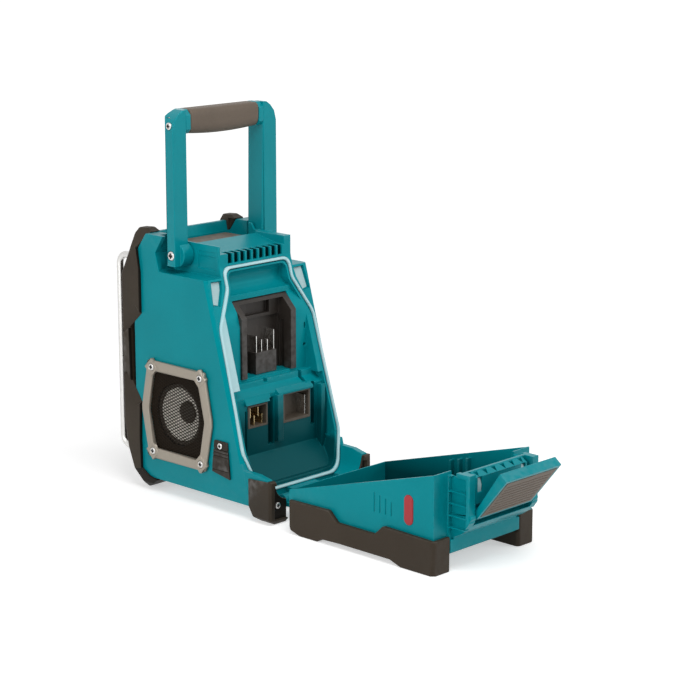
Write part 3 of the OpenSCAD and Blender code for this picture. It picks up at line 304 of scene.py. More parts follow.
def gloss(tree, shader, vector, rough, spread, size):
    """Feeds a smudged roughness into the shader: its middle, its spread and its patches' size."""
    patchy = use(tree, smudged_gloss, Vector=vector, Roughness=rough, Spread=spread, Size=size)
    feed(tree, shader["Roughness"], patchy["Roughness"])


def bump(tree, shader, height, distance):
    """Feeds a height into the shader's normal."""
    feed(tree, shader["Normal"], node(tree, "Bump", {"Height": height, "Distance": distance}).outputs[0])


def bricks(tree, vector, **settings):
    """The outputs of a Brick texture that lies in the X-Z plane."""
    turned = node(tree, "Mapping", {"Vector": vector, "Rotation": (math.pi / 2, 0, 0)}).outputs[0]
    settings = {key.replace("_", " "): value for key, value in settings.items()}
    return node(tree, "TexBrick", {"Vector": turned, **settings}).outputs


def moulded(name, tone, shade, rough, spread=0.10, edge_glint=0.25, depth=0.012 * MM, size=None, level=0.5,
            tint=(1, 1, 1), hollow=None):
    """Moulded plastic or rubber: drifting tone, edges paler with a painted highlight, patchy gloss and a fine
    grain.

    depth and size are the grain's, level and tint are the highlight's, and hollow is a box in which the
    colour gets a painted shade."""
    tree, shader, vector = new_material(name)
    drift = use(tree, tone_drift, Vector=vector, Tone=rgba(tone), Shade=rgba(shade), Size=DRIFT)
    # The paler tone along the edges is a painted highlight.
    surface = use(tree, painted_edge_glint, Vector=vector, Colour=drift["Colour"], Rub=rgba(paler(tone, 0.22)),
                  Amount=edge_glint)
    # Inside its box the colour gets a painted shade, darker where little light gets in.
    if hollow:
        surface = use(tree, painted_hollow_shade, Vector=vector, Colour=surface["Colour"], **hollow)
    feed(tree, shader["Base Color"], surface["Colour"])
    gloss(tree, shader, vector, rough, spread, PATCH)
    size = size or bpy.context.scene.radio_detail.grain
    bump(tree, shader, use(tree, moulded_grain, Vector=vector, Size=size)["Height"], depth)
    shader["Specular IOR Level"].default_value = level
    shader["Specular Tint"].default_value = rgba(tint)


def metal(name, tone, rough, metallic=1.0, dull=0.25):
    """Metal with drawn scratches that change its tone, its gloss and its height a little."""
    tree, shader, vector = new_material(name)
    scratches = use(tree, brushed, Vector=vector, Size=0.4 * MM)
    tones = blend(tree, scratches["Mask"], rgba(tone), rgba(darker(tone, 1.0 - dull)))
    feed(tree, shader["Base Color"], tones)
    gloss(tree, shader, vector, rough, spread=0.16, size=6 * MM)
    bump(tree, shader, scratches["Height"], distance=0.004 * MM)
    shader["Metallic"].default_value = metallic


def clear_window(name):
    """Clear polished plastic over the display."""
    tree, shader, vector = new_material(name)
    gloss(tree, shader, vector, rough=0.06, spread=0.05, size=10 * MM)
    shader["Base Color"].default_value = (0.86, 0.92, 0.95, 1.0)
    shader["Transmission Weight"].default_value = 1.0


def display_with_painted_glow(name):
    """Grey-green liquid crystal with a fine cell grid, with a painted glow in place of the lamp light that
    the lens keeps off.
    """
    tree, shader, vector = new_material(name)
    cells = bricks(tree, vector, Color1=(0.30, 0.37, 0.31, 1), Color2=(0.28, 0.35, 0.30, 1),
                   Mortar=(0.24, 0.30, 0.26, 1), Scale=60.0, Mortar_Size=0.01)["Color"]
    feed(tree, shader["Base Color"], cells)
    # The glow is painted light; nothing lights the display from behind.
    feed(tree, shader["Emission Color"], cells)
    shader["Emission Strength"].default_value = 0.7
    gloss(tree, shader, vector, rough=0.35, spread=0.1, size=10 * MM)


def circuit_board(name):
    """Green lacquer over tracks that run in short bricks."""
    tree, shader, vector = new_material(name)
    tracks = bricks(tree, vector, Color1=(0.02, 0.12, 0.05, 1), Color2=(0.015, 0.09, 0.035, 1),
                    Mortar=(0.05, 0.20, 0.09, 1), Scale=90.0, Mortar_Size=0.02, Bias=0.1)
    feed(tree, shader["Base Color"], tracks["Color"])
    gloss(tree, shader, vector, rough=0.35, spread=0.2, size=10 * MM)
    bump(tree, shader, tracks["Fac"], distance=0.03 * MM)


def make_materials(tones):
    """One material for each finish of the radio."""
    # Each finish's paler edges are a painted highlight.
    teal = {"tone": tones.housing, "shade": tones.housing_deep, "rough": 0.34, "level": 0.36,
            "tint": (0.02, 0.85, 0.92), "edge_glint": 0.35}
    glossy = {"rough": 0.26, "level": 0.45, "tint": (0.25, 0.9, 0.97), "edge_glint": 0.0, "spread": 0.03}
    rubber = {"depth": 0.03 * MM, "size": 0.7 * MM}
    moulded("teal_plastic", **teal)
    moulded("vent_plastic_painted_shade", **teal, hollow=VENT_PAINTED_SHADE)
    moulded("bay_plastic_painted_shade", **teal, hollow=BAY_PAINTED_SHADE)
    moulded("tray_plastic_painted_shade", **teal, hollow=TRAY_PAINTED_SHADE)
    moulded("handle_plastic", **{**teal, **glossy})
    moulded("seal_rubber", tones.seal, paler(tones.seal, 0.2), 0.45, edge_glint=0.1)
    moulded("socket_black", (0.028, 0.022, 0.018), (0.020, 0.016, 0.013), 0.42, level=0.35, edge_glint=0.5)
    metal("bright_contact", (0.86, 0.85, 0.82), 0.22)
    moulded("socket_taupe", (0.100, 0.080, 0.060), (0.080, 0.064, 0.048), 0.5, level=0.35, edge_glint=0.4)
    metal("gold_contact", (0.80, 0.62, 0.33), 0.25)
    moulded("panel_black", (0.022, 0.020, 0.019), (0.016, 0.015, 0.014), 0.5, level=0.4)
    clear_window("lens")
    display_with_painted_glow("lcd")
    moulded("lcd_ink", (0.012, 0.016, 0.014), (0.010, 0.013, 0.012), 0.5, edge_glint=0.0)
    circuit_board("board")
    metal("ferrite", (0.06, 0.06, 0.06), 0.6, metallic=0.4)
    moulded("dark_rubber", tones.guard, darker(tones.guard, 0.7), 0.52, level=0.2, edge_glint=0.5, **rubber)
    moulded("port_rubber", darker(tones.guard, 0.55), darker(tones.guard, 0.45), 0.5, level=0.2, edge_glint=0.4,
            **rubber)
    # A darker copy of the guard rubber: a painted shade on back-facing walls, under the sill and in recesses.
    moulded("rubber_painted_shade", darker(tones.guard, 0.25), darker(tones.guard, 0.18), 0.5, level=0.12, edge_glint=0.0,
            **rubber)
    metal("steel", tones.steel, 0.30)
    # A darker steel, a painted shade inside the screws' cross recesses.
    metal("recess_steel_painted_shade", darker(tones.steel, 0.12), 0.5)
    metal("frame_metal", tones.frame, 0.40, metallic=0.45, dull=0.12)
    moulded("mesh", (0.016, 0.011, 0.007), (0.011, 0.008, 0.005), 0.6, level=0.06, depth=0.004 * MM, edge_glint=0.0)
    moulded("cone_paper", (0.86, 0.82, 0.74), (0.78, 0.74, 0.67), 0.7, level=0.3, depth=0.05 * MM,
            size=0.9 * MM)
    moulded("cap_dark", (0.045, 0.038, 0.028), (0.034, 0.029, 0.022), 0.5, level=0.3)
    moulded("grip_rubber", tones.grip, darker(tones.grip, 0.8), 0.55, level=0.35, edge_glint=0.5, **rubber)
    moulded("power_red", tones.badge, darker(tones.badge, 0.8), 0.3)
    moulded("catch_grey", (0.42, 0.60, 0.62), (0.36, 0.54, 0.56), 0.42, edge_glint=0.1)
    moulded("door_rubber", tones.door_guard, darker(tones.door_guard, 0.82), 0.55, level=0.2, edge_glint=0.6,
            **rubber)


# ---- mesh helpers ----
def grid_faces(rows, columns, wrap_rows=False, wrap_columns=False):
    """Quads of a rows by columns grid of points, as one index array."""
    r = np.arange(rows if wrap_rows else rows - 1)
    c = np.arange(columns if wrap_columns else columns - 1)
    a, b = np.meshgrid(r, c, indexing="ij")
    low, high = a * columns, (a + 1) % rows * columns
    after = (b + 1) % columns
    return np.stack([low + b, high + b, high + after, low + after], -1).reshape(-1, 4)


def repeated(faces, count):
    """The faces of one eight-cornered bar, for count bars whose points follow each other."""
    return (faces[None] + (np.arange(count) * 8)[:, None, None]).reshape(-1, 4)


def join(parts):
    """Several (points, faces) pairs as one pair."""
    points, faces, start = [], [], 0
    for p, f in parts:
        points.append(p)
        faces.append(f + start)
        start += len(p)
    return np.concatenate(points), np.concatenate(faces)


NEAR = 4e-6
RUBBER_ROUND = {"segments": 3, "least_angle": 22}


def merged(mesh, distance):
    """A bmesh of a mesh, with its doubled points merged."""
    work = bmesh.new()
    work.from_mesh(mesh)
    bmesh.ops.remove_doubles(work, verts=work.verts, dist=distance)
    return work


def add_piece(name, points, faces, materials, body, replaced=(), indices=None, smooth=True):
    """A finished piece from point and quad arrays; doubled points are merged and faces turned outwards."""
    mesh = bpy.data.meshes.new(name)
    mesh.from_pydata(points.tolist(), [], faces.tolist())
    for material in materials:
        mesh.materials.append(MATERIALS[material])
    if indices is not None:
        mesh.polygons.foreach_set("material_index", indices.astype(np.int32))
    work = merged(mesh, 1e-6)
    bmesh.ops.recalc_face_normals(work, faces=work.faces)
    work.to_mesh(mesh)
    work.free()
    if smooth:
        mesh.shade_smooth()
        mesh.set_sharp_from_angle(angle=math.radians(38))
    enlist(placed(name, mesh), body, replaced)


def placed(name, data):
    """A new object in the scene."""
    made = bpy.data.objects.new(name, data)
    bpy.context.scene.collection.objects.link(made)
    return made


def enlist(piece, body, replaced=()):
    """Rides a piece on its body, in place of CAD nodes."""
    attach(piece, body)
    if replaced:
        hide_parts(*replaced)


def body_of(name):
    """The body that a CAD node rides on."""
    bodies = frame["record"]["behaviour"]["bodies"]
    return next(body for body, members in bodies.items() if name in members)


# How bevels are laid: cosine past which two edges run on as one, share of an edge's length that a bevel
# may take, least share worth making, turns below which an edge counts as flat or is shaded smooth, and
# how far a corner may lie off the old surface, as a share of the bevel's width.
RUNS_ON, MAY_TAKE, LEAST = -0.86, 0.46, 0.1
FLAT, SMOOTH = math.radians(1.0), math.radians(12.0)
MAY_STAND_OUT, MAY_LIE_IN = 0.42, 0.9


def bevel_weights(work, width, least_angle):
    """Weight of each edge, 1 for the whole width: only edges sharper than least_angle get one,
    and less where the neighbouring edges leave no room for it."""
    layer = work.edges.layers.float.new("bevel_weight_edge")
    turn = {e: e.calc_face_angle(0) if len(e.link_faces) == 2 else 0.0 for e in work.edges}
    room = {e: width for e, angle in turn.items() if angle > least_angle}
    for vertex in work.verts:
        edges = [e for e in vertex.link_edges if turn[e] > FLAT]
        ways = {e: (e.other_vert(vertex).co - vertex.co).normalized() for e in edges}
        for e in (e for e in edges if e in room):
            along = {other for other in edges if ways[other].dot(ways[e]) < RUNS_ON}
            near = set(edges) - along - {e}
            if not along & room.keys():
                near.add(e)
            room[e] = min([room[e], *(other.calc_length() * MAY_TAKE for other in near)])
    for e, free in room.items():
        e[layer] = free / width if free > LEAST * width else 0.0
    for e, angle in turn.items():
        e.smooth = e[layer] > 0 or angle < SMOOTH


def rounded(mesh, width, segments):
    """A mesh with its weighted edges bevelled. A corner that the bevel threw out is drawn back
    to the nearest point of the old surface, and nothing leaves the old mesh's box."""
    holder = placed("holder", mesh)
    rounding = holder.modifiers.new("edges", "BEVEL")
    rounding.limit_method = "WEIGHT"
    rounding.width = width
    rounding.segments = segments
    rounding.use_clamp_overlap = False
    rounding.loop_slide = False
    depsgraph = bpy.context.evaluated_depsgraph_get()
    made = bpy.data.meshes.new_from_object(holder.evaluated_get(depsgraph), depsgraph=depsgraph)
    corners = np.array([v.co for v in mesh.vertices])
    surface = BVHTree.FromPolygons(corners.tolist(), [p.vertices for p in mesh.polygons])
    low, high = corners.min(0), corners.max(0)
    for vertex in made.vertices:
        near, normal, _, distance = surface.find_nearest(vertex.co)
        outside = (vertex.co - near).dot(normal) > 0
        if distance > width * (MAY_STAND_OUT if outside else MAY_LIE_IN):
            vertex.co = near
        vertex.co = np.clip(vertex.co, low, high)
    bpy.data.objects.remove(holder)
    return made


def finished(name, width, segments=2, least_angle=28.0, material=None):
    """A copy of a CAD node with its points merged, its flats whole and its edges rounded."""
    mesh, slot = frame["nodes"][name].data.copy(), SLOT_OF[name]
    work = merged(mesh, NEAR)
    bmesh.ops.dissolve_degenerate(work, edges=work.edges, dist=NEAR)
    bmesh.ops.dissolve_limit(work, angle_limit=math.radians(0.6), verts=work.verts, edges=work.edges,
                             use_dissolve_boundaries=False)
    bmesh.ops.triangulate(work, faces=work.faces, quad_method="BEAUTY", ngon_method="BEAUTY")
    bevel_weights(work, width, math.radians(least_angle))
    for face in work.faces:
        face.smooth = True
        face.material_index = 0
    work.to_mesh(mesh)
    work.free()
    made = rounded(mesh, width, segments)
    made.name = f"{name}_finish"
    made.materials.clear()
    made.materials.append(MATERIALS[material or slot])
    piece = placed(made.name, made)
    piece.modifiers.new("normals", "WEIGHTED_NORMAL").keep_sharp = True
    enlist(piece, body_of(name), [name])
    return piece


def shade_faces(piece, material, chosen):
    """Gives a second material to the faces for which chosen(centres, normals) is true."""
    faces = piece.data.polygons
    centres, normals = np.empty((2, len(faces) * 3))
    faces.foreach_get("center", centres)
    faces.foreach_get("normal", normals)
    piece.data.materials.append(MATERIALS[material])
    second = chosen(centres.reshape(-1, 3), normals.reshape(-1, 3))
    faces.foreach_set("material_index", second.astype(np.int32))


def paint(*names):
    """Puts its finish on a CAD node that is shown as it is."""
    for name in names:
        data = frame["nodes"][name].data
        data.materials.clear()
        data.materials.append(MATERIALS[SLOT_OF[name]])


def solids(name):
    """Boxes (low, high) of the separate solids of a node."""
    work = merged(frame["nodes"][name].data, NEAR)
    boxes, seen = [], set()
    for start in work.verts:
        if start in seen:
            continue
        island, fresh = set(), {start}
        while fresh:
            island |= fresh
            fresh = {e.other_vert(vertex) for vertex in fresh for e in vertex.link_edges} - island
        seen |= island
        points = np.array([vertex.co for vertex in island])
        boxes.append((points.min(0), points.max(0)))
    work.free()
    return boxes


def frame_of(axis):
    """Three unit vectors, the last one along axis."""
    w = np.array(axis, float)
    u = np.cross(w, (0.0, 0.0, 1.0)) if abs(w[2]) < 0.9 else np.array((1.0, 0.0, 0.0))
    u /= np.linalg.norm(u)
    return u, np.cross(w, u), w


def revolve(profile, centre, axis, steps=48, relief=None, flute=None):
    """A profile of (radius, height) turned about axis through centre.

    Point (i, j) is centre + r_i (u cos t_j + v sin t_j) + h_i w. relief(x, y, i) may lower h, and
    flute(i, t) scales the radius."""
    u, v, w = frame_of(axis)
    r, h = np.asarray(profile, float).T
    t = np.linspace(0, 2 * np.pi, steps, endpoint=False)
    radius = np.repeat(r[:, None], steps, 1)
    if flute is not None:
        radius = radius * flute(np.arange(len(r))[:, None], t[None])
    x, y = radius * np.cos(t), radius * np.sin(t)
    z = np.repeat(h[:, None], steps, 1)
    if relief is not None:
        z = z - relief(x, y, np.arange(len(r))[:, None])
    points = np.asarray(centre) + x[..., None] * u + y[..., None] * v + z[..., None] * w
    return points.reshape(-1, 3), grid_faces(len(r), steps, wrap_columns=True)


# ---- screws ----
# Shares of a screw head's radius: its domed face and how far that falls, its rim, and the cross recess.
HEAD_FACE, HEAD_DOME, HEAD_RIM = 0.86, 0.12, 0.14
CROSS_ARM, CROSS_REACH, CROSS_WALL, CROSS_DEEP = 0.17, 0.60, 0.07, 0.75


def screw(low, high, axis, head, shaft):
    """A pan-head screw in the box low..high: a domed head with a cross recess, over a plain shaft.
    Besides points and faces it gives which faces lie in the recess.

    The head's height falls with the square of the radius. The cross is sunk where a point lies within
    its arm's half width of one of two axes, with steep walls, and it is deepest in the middle."""
    way = int(np.argmax(np.abs(axis)))
    across = 1 if way == 0 else 0
    radius = (high[across] - low[across]) / 2
    centre = (low + high) / 2
    centre[way] = high[way] if axis[way] > 0 else low[way]
    inner = np.linspace(0, HEAD_FACE, 16)
    face = np.stack([inner, -HEAD_DOME * inner ** 2], 1) * radius
    turn = np.linspace(0.2, np.pi / 2, 4)
    fall = HEAD_DOME + HEAD_RIM * (1 - np.cos(turn))
    rim = np.stack([HEAD_FACE + HEAD_RIM * np.sin(turn), -fall], 1) * radius
    deep = high[way] - low[way]
    below = np.array([[radius, -head], [shaft, -head], [shaft, -deep], [0, -deep]])
    profile = np.concatenate([face, rim, below])

    def cross(x, y, i):
        near = np.minimum(np.abs(x), np.abs(y)) / radius
        far = np.maximum(np.abs(x), np.abs(y)) / radius
        arm = np.clip((CROSS_ARM + CROSS_WALL - near) / CROSS_WALL, 0, 1)
        end = np.clip((CROSS_REACH - far) / CROSS_WALL, 0, 1)
        return arm * end * CROSS_DEEP * radius * (1 - 0.5 * far / CROSS_REACH) * (i < len(face))

    points, faces = revolve(profile, centre, axis, relief=cross)
    plain, _ = revolve(profile, centre, axis)
    sunk = np.abs(points - plain).max(1) > 0.3 * CROSS_DEEP * radius
    return points, faces, sunk[faces].any(1)


def screw_set(name, node_name, axis, head, shaft):
    """All screws of one node, with their head's height and their shaft's radius; axis 0 means outwards
    along X, 1 means along +Y."""
    made = []
    for low, high in solids(node_name):
        way = np.zeros(3)
        way[axis] = np.sign(low[0] + high[0]) if axis == 0 else 1.0
        made.append(screw(low, high, way, head, shaft))
    points, faces = join([(p, f) for p, f, _ in made])
    sunk = np.concatenate([s for _, _, s in made])
    # The faces in the cross recess get the painted shade.
    add_piece(name, points, faces, ["steel", "recess_steel_painted_shade"], body_of(node_name), [node_name], sunk)


# ---- speakers ----
# The grille's outline: half length of its top side, as a share of the half length at its waist, and
# the waist's half height.
TOP_SHARE, WAIST = 0.8151, 3 * MM
MESH_THICK, BAFFLE_THICK = 0.6 * MM, 0.12 * MM
FAMILY_STEP = 0.12
CONE_STEPS = 72


def grille_corners():
    """Corners (y, z) of the grille's outline and its middle, from the node's box."""
    low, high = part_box("grille_right")
    middle = np.array([(low[1] + high[1]) / 2, (low[2] + high[2]) / 2])
    h, z = (high[1] - low[1]) / 2, (high[2] - low[2]) / 2
    y = h * TOP_SHARE
    half = np.array([[y, z], [h, WAIST], [h, -WAIST], [y, -z]])
    return np.concatenate([half, -half]), middle


def half_planes(corners):
    """Outward normals and offsets of a convex outline's sides."""
    after = np.roll(corners, -1, 0)
    side = after - corners
    normal = np.stack([-side[:, 1], side[:, 0]], 1)
    normal /= np.linalg.norm(normal, axis=1)[:, None]
    offset = (normal * corners).sum(1)
    flip = np.sign(offset)[:, None]
    return normal * flip, offset * flip[:, 0]


def clipped(start, along, normals, offsets, reach):
    """How far lines from start run along their way inside the outline, as first and last distance."""
    slope = normals @ along
    room = offsets[None] - start @ normals.T
    bound = room / np.where(np.abs(slope) < 1e-9, 1e-9, slope)[None]
    first = np.where(slope < -1e-9, bound, -reach).max(1)
    last = np.where(slope > 1e-9, bound, reach).min(1)
    return first, last


def expanded_mesh(corners, long, short, strand, thick):
    """Strands of expanded metal: two families of parallel flat bars that cross in long diamonds.

    Bar k of a family starts k pitches aside from the middle and runs to the outline's sides. Its section
    is a flat rhombus, and one family lies a little further out than the other."""
    normals, offsets = half_planes(corners)
    reach = np.abs(corners).max() * 1.5
    lean = math.atan2(short, long)
    pitch = long * math.sin(lean)
    k = np.arange(-int(reach / pitch), int(reach / pitch) + 1)
    made = []
    for way in (1, -1):
        along = np.array([math.cos(lean), way * math.sin(lean)])
        aside = np.array([-along[1], along[0]])
        start = k[:, None] * pitch * aside
        first, last = clipped(start, along, normals, offsets, reach)
        keep = last - first > pitch
        ends = np.stack([first[keep], last[keep]], 1)
        centre = start[keep][:, None, :] + ends[..., None] * along
        across = np.array([-0.5, 0.0, 0.5, 0.0]) * strand
        level = (np.array([0.0, 0.5, 0.0, -0.5]) + way * FAMILY_STEP) * thick
        flat = centre[:, :, None, :] + across[:, None] * aside
        high = np.broadcast_to(level, flat.shape[:-1])
        points = np.concatenate([high[..., None], flat], -1)
        one = np.concatenate([grid_faces(2, 4, wrap_columns=True), [[3, 2, 1, 0], [4, 5, 6, 7]]])
        made.append((points.reshape(-1, 3), repeated(one, len(points))))
    return join(made)


def baffle(corners, hole, thick):
    """A flat plate from a round hole out to the outline. On each ray the outer radius is the least
    distance to the outline's sides, and the plate's section is carried round as a closed loop."""
    normals, offsets = half_planes(corners)
    t = np.sort(np.concatenate([np.linspace(0, 2 * np.pi, 96, endpoint=False),
                                np.arctan2(corners[:, 1], corners[:, 0]) % (2 * np.pi)]))
    ray = np.stack([np.cos(t), np.sin(t)], 1)
    facing = ray @ normals.T
    outer = np.where(facing > 1e-6, offsets / np.maximum(facing, 1e-6), 1.0).min(1)
    radius = np.stack([np.full_like(outer, hole), outer, outer, np.full_like(outer, hole)], 1)
    level = np.array([0.0, 0.0, thick, thick])
    flat = radius[..., None] * ray[:, None, :]
    points = np.concatenate([np.broadcast_to(level, radius.shape)[..., None], flat], -1)
    return points.reshape(-1, 3), grid_faces(len(t), 4, wrap_rows=True, wrap_columns=True)


def placed_on_side(points, x, middle, side):
    """Moves points (depth, y, z) to the side face at x, on the right (1) or left (-1)."""
    return (points + (x, *middle)) * (side, 1.0, 1.0)


def cone_profile(outer, cap, base):
    """Front and back of the cone as (radius, height), and each face's material.

    The surround is half a circle of its own height, the cone's depth grows with the power 0.85 of the
    way in and carries shallow ribs, and the dust cap is the top of an ellipse."""
    half = 2.6 * MM
    turn = np.linspace(0, np.pi, 10)
    surround = np.stack([outer - half + half * np.cos(turn), base + 0.4 * MM + 1.7 * MM * np.sin(turn)], 1)
    share = np.linspace(1, 0, 34)[1:]
    ribs = 0.22 * MM * np.maximum(0, np.cos(2 * np.pi * 3.2 * share)) ** 4
    depth = 11.4 * MM * (1 - share) ** 0.85
    flare = np.stack([cap + (outer - 2 * half - cap) * share, base - depth + ribs], 1)
    dome = np.linspace(1, 0, 14)[1:]
    cover = np.stack([cap * dome, base - 10.9 * MM + 4.6 * MM * np.sqrt(1 - 0.92 * dome ** 2)], 1)
    front = np.concatenate([surround, flare, cover])
    kinds = np.repeat([1, 0, 1], [len(surround) - 1, len(flare), len(cover)])
    back = front[::-1] - np.array([0.0, 0.9 * MM])
    return np.concatenate([front, back, front[:1]]), np.concatenate([kinds, [1], kinds[::-1], [1]])


# ---- grip and controls ----
def grip_surface(low, high, bow, lip):
    """A rubber sleeve along X in the box low..high.

    Each section is the superellipse |y / a|^n + |z / b|^n = 1, with n = 5 above and a rounder 2.7 below.
    Its lower edge rises from the box's floor in the middle by bow (2 x / length)^2 towards the ends, and
    the last lip of each end is a quarter circle that draws the section in. The end rings shrink to a
    point."""
    length = high[0] - low[0]
    turn = np.linspace(0, np.pi / 2, 6)
    ends, inset = lip * (1 - np.cos(turn)), lip * (1 - np.sin(turn))
    run = np.linspace(lip, length - lip, 26)[1:-1]
    x = np.concatenate([[0.0], ends, run, length - ends[::-1], [length]])
    drawn = np.concatenate([[lip], inset, np.zeros(len(run)), inset[::-1], [lip]])
    closed = np.ones(len(x))
    closed[[0, -1]] = 0.0
    floor = low[2] + bow * (2 * x / length - 1) ** 2
    half_y = (high[1] - low[1]) / 2 - drawn
    half_z = (high[2] - floor) / 2 - drawn
    t = np.linspace(0, 2 * np.pi, 96, endpoint=False)
    power = np.where(np.sin(t) > 0, 5.0, 2.7)
    reach = (np.abs(np.cos(t)) ** power + np.abs(np.sin(t)) ** power) ** (-1 / power)
    y = (low[1] + high[1]) / 2 + (half_y * closed)[:, None] * reach * np.cos(t)
    z = ((high[2] + floor) / 2)[:, None] + (half_z * closed)[:, None] * reach * np.sin(t)
    points = np.stack([np.repeat((low[0] + x)[:, None], len(t), 1), y, z], -1)
    return points.reshape(-1, 3), grid_faces(len(x), len(t), wrap_columns=True)


def dial_surface(low, high, knurls):
    """The tuning dial: a dished face with a finger dimple, a fluted side and its shaft.

    The face stands out by 1 - (r / 0.8)^4 of the dish's depth, the side's radius falls by a share of
    (1 + cos(knurls t)) / 2, and the dimple is a paraboloid."""
    radius = (high[0] - low[0]) / 2
    centre = np.array([(low[0] + high[0]) / 2, low[1], (low[2] + high[2]) / 2])
    deep = high[1] - low[1]
    body, shaft = 14.65 * MM, 3.95 * MM
    face = np.linspace(0, 0.8, 26)
    dish = 0.9 * MM * (1 - (face / 0.8) ** 4)
    rim = np.array([[0.86, 0.0], [0.92, 0.15 * MM], [0.965, 0.6 * MM]])
    side = np.array([[0.985, 1.4 * MM], [1.0, 2.2 * MM], [1.0, 11.2 * MM], [0.985, 12.0 * MM]])
    skirt = np.array([[0.94, 12.2 * MM], [0.94, 12.9 * MM], [1.0, 13.1 * MM], [1.0, body]])
    profile = np.concatenate([np.stack([face, dish], 1), rim, side, skirt])
    profile = np.stack([profile[:, 0] * radius, -profile[:, 1]], 1)
    profile = np.concatenate([profile, [[shaft, -body], [shaft, -deep], [0.0, -deep]]])
    first = len(face) + len(rim)

    def dimple(x, y, i):
        away = (x ** 2 + (y + radius / 2) ** 2) / (0.27 * radius) ** 2
        return 1.6 * MM * np.clip(1 - away, 0, 1) * (i < len(face))

    def flute(i, t):
        cut = 0.035 * (1 + np.cos(knurls * t)) / 2
        return 1 - cut * ((i >= first) & (i < first + len(side)))

    return revolve(profile, centre, (0, -1, 0), knurls * 4, dimple, flute)


# Bars of the digits in use, and each bar's place as shares of the width and of half the height, with a
# 1 where it stands upright.
SEGMENTS = {"0": "abcdef", "1": "bc", "2": "abged", "3": "abgcd", "4": "fgbc"}
BARS = {"a": (0, 1, 0), "g": (0, 0, 0), "d": (0, -1, 0), "f": (-0.5, 0.5, 1), "b": (0.5, 0.5, 1),
        "e": (-0.5, -0.5, 1), "c": (0.5, -0.5, 1)}


def segment_bars(text, height, width, stroke, step):
    """Flat bars (x, z, half x, half z) of a row of seven-segment digits about its middle. A colon is two
    dots."""
    bars = []
    for place, sign in enumerate(text):
        middle = (place - (len(text) - 1) / 2) * step
        if sign == ":":
            bars += [(middle, up * height * 0.25, stroke / 2, stroke / 2) for up in (-1, 1)]
        for name in SEGMENTS.get(sign, ""):
            x, z, upright = BARS[name]
            long = (height / 2 if upright else width) / 2 - stroke * 0.6
            half = (stroke / 2, long) if upright else (long, stroke / 2)
            bars.append((middle + x * width, z * height / 2, *half))
    return np.array(bars)


def tick_bars(start, step, count, stroke, tall, low):
    """Flat bars of a tuning scale's ticks. Every fourth one is tall."""
    k = np.arange(count)
    half = np.where(k % 4 == 0, tall, low) / 2
    return np.stack([start + k * step, np.zeros(count), np.full(count, stroke / 2), half], 1)


def boxes(bars, y_front, y_back):
    """Thin boxes from bars (x, z, half x, half z) between two depths."""
    x, z, a, b = bars.T
    sign = np.array([[-1, -1], [1, -1], [1, 1], [-1, 1]])
    flat = np.stack([x[:, None] + a[:, None] * sign[:, 0], z[:, None] + b[:, None] * sign[:, 1]], -1)
    rings = [np.stack([flat[..., 0], np.full(flat.shape[:2], y), flat[..., 1]], -1)
             for y in (y_front, y_back)]
    points = np.concatenate(rings, 1)
    one = np.array([[0, 1, 2, 3], [7, 6, 5, 4], [0, 4, 5, 1], [1, 5, 6, 2], [2, 6, 7, 3], [3, 7, 4, 0]])
    return points.reshape(-1, 3), repeated(one, len(points))


# ---- operators ----
class RADIO_OT_materials(Operator):
    """Make the finishes that the pieces share"""

    bl_idname = "radio.materials"
    bl_label = "Finishes"

    def execute(self, context):
        make_materials(context.scene.radio_colours)
        return {"FINISHED"}


class RADIO_OT_housing(Operator):
    """Round the edges of the housing, the battery bay, the tray pad and the catch plates"""

    bl_idname = "radio.housing"
    bl_label = "Housing"

    def execute(self, context):
        edge = context.scene.radio_detail.edge
        # The vents and the lower bay get a painted shade in their hollows.
        finished("main_housing", edge, material="vent_plastic_painted_shade")
        finished("battery_bay", edge, material="bay_plastic_painted_shade")
        finished("catch_plates", edge)
        finished("top_pad", edge)
        return {"FINISHED"}


class RADIO_OT_sockets(Operator):
    """Finish the three battery sockets and their contacts"""

    bl_idname = "radio.sockets"
    bl_label = "Battery sockets"

    def execute(self, context):
        edge = context.scene.radio_detail.edge
        for name in ("big_socket", "small_socket", "slide_socket"):
            finished(name, edge * 0.7)
        for name in ("big_socket_blades", "small_socket_contacts", "slide_socket_contacts"):
            finished(name, edge * 0.35, segments=1)
        return {"FINISHED"}


class RADIO_OT_seal(Operator):
    """Round the seal of the battery opening to a bead"""

    bl_idname = "radio.seal"
    bl_label = "Seal"

    def execute(self, context):
        finished("bay_gasket", context.scene.radio_detail.bead, segments=3, least_angle=40)
        return {"FINISHED"}


class RADIO_OT_guards(Operator):
    """Finish the corner bumpers, the guard bars, the rear feet and the door's hinge pin"""

    bl_idname = "radio.guards"
    bl_label = "Bumpers and guard bars"

    def execute(self, context):
        detail = context.scene.radio_detail
        head = 2.5 * MM
        foot_floor = solids("foot_screws")[0][1][1] - head
        flank, nose, sill = 78.5 * MM, -252 * MM, 22 * MM

        def shaded_back_walls(centres, normals):
            """Walls that look back beyond the flank, and all below the sill but the front, which get a
            painted shade.
            """
            x, y, z = centres.T
            behind = (normals[:, 1] > 0.55) & (np.abs(x) > flank) & (y > nose)
            return behind | ((z < sill) & (normals[:, 1] > -0.3))

        def shaded_foot_recess(centres, normals):
            """The floor of the recess that holds the foot's screw, which gets a painted shade."""
            return (normals[:, 1] > 0.9) & (np.abs(centres[:, 1] - foot_floor) < 0.3 * MM)

        for side in ("right", "left"):
            bumper = finished(f"bumper_{side}", detail.rubber_edge, **RUBBER_ROUND)
            # The bumper's back walls and its lower part get a painted shade.
            shade_faces(bumper, "rubber_painted_shade", shaded_back_walls)
            foot = finished(f"rear_foot_{side}", detail.rubber_edge * 0.8, **RUBBER_ROUND)
            # The floor of the foot's recess gets a painted shade.
            shade_faces(foot, "rubber_painted_shade", shaded_foot_recess)
            finished(f"guard_bar_{side}", detail.edge)
        finished("hinge_pin", detail.edge)
        screw_set("foot_screw_heads", "foot_screws", axis=1, head=head, shaft=1.45 * MM)
        return {"FINISHED"}


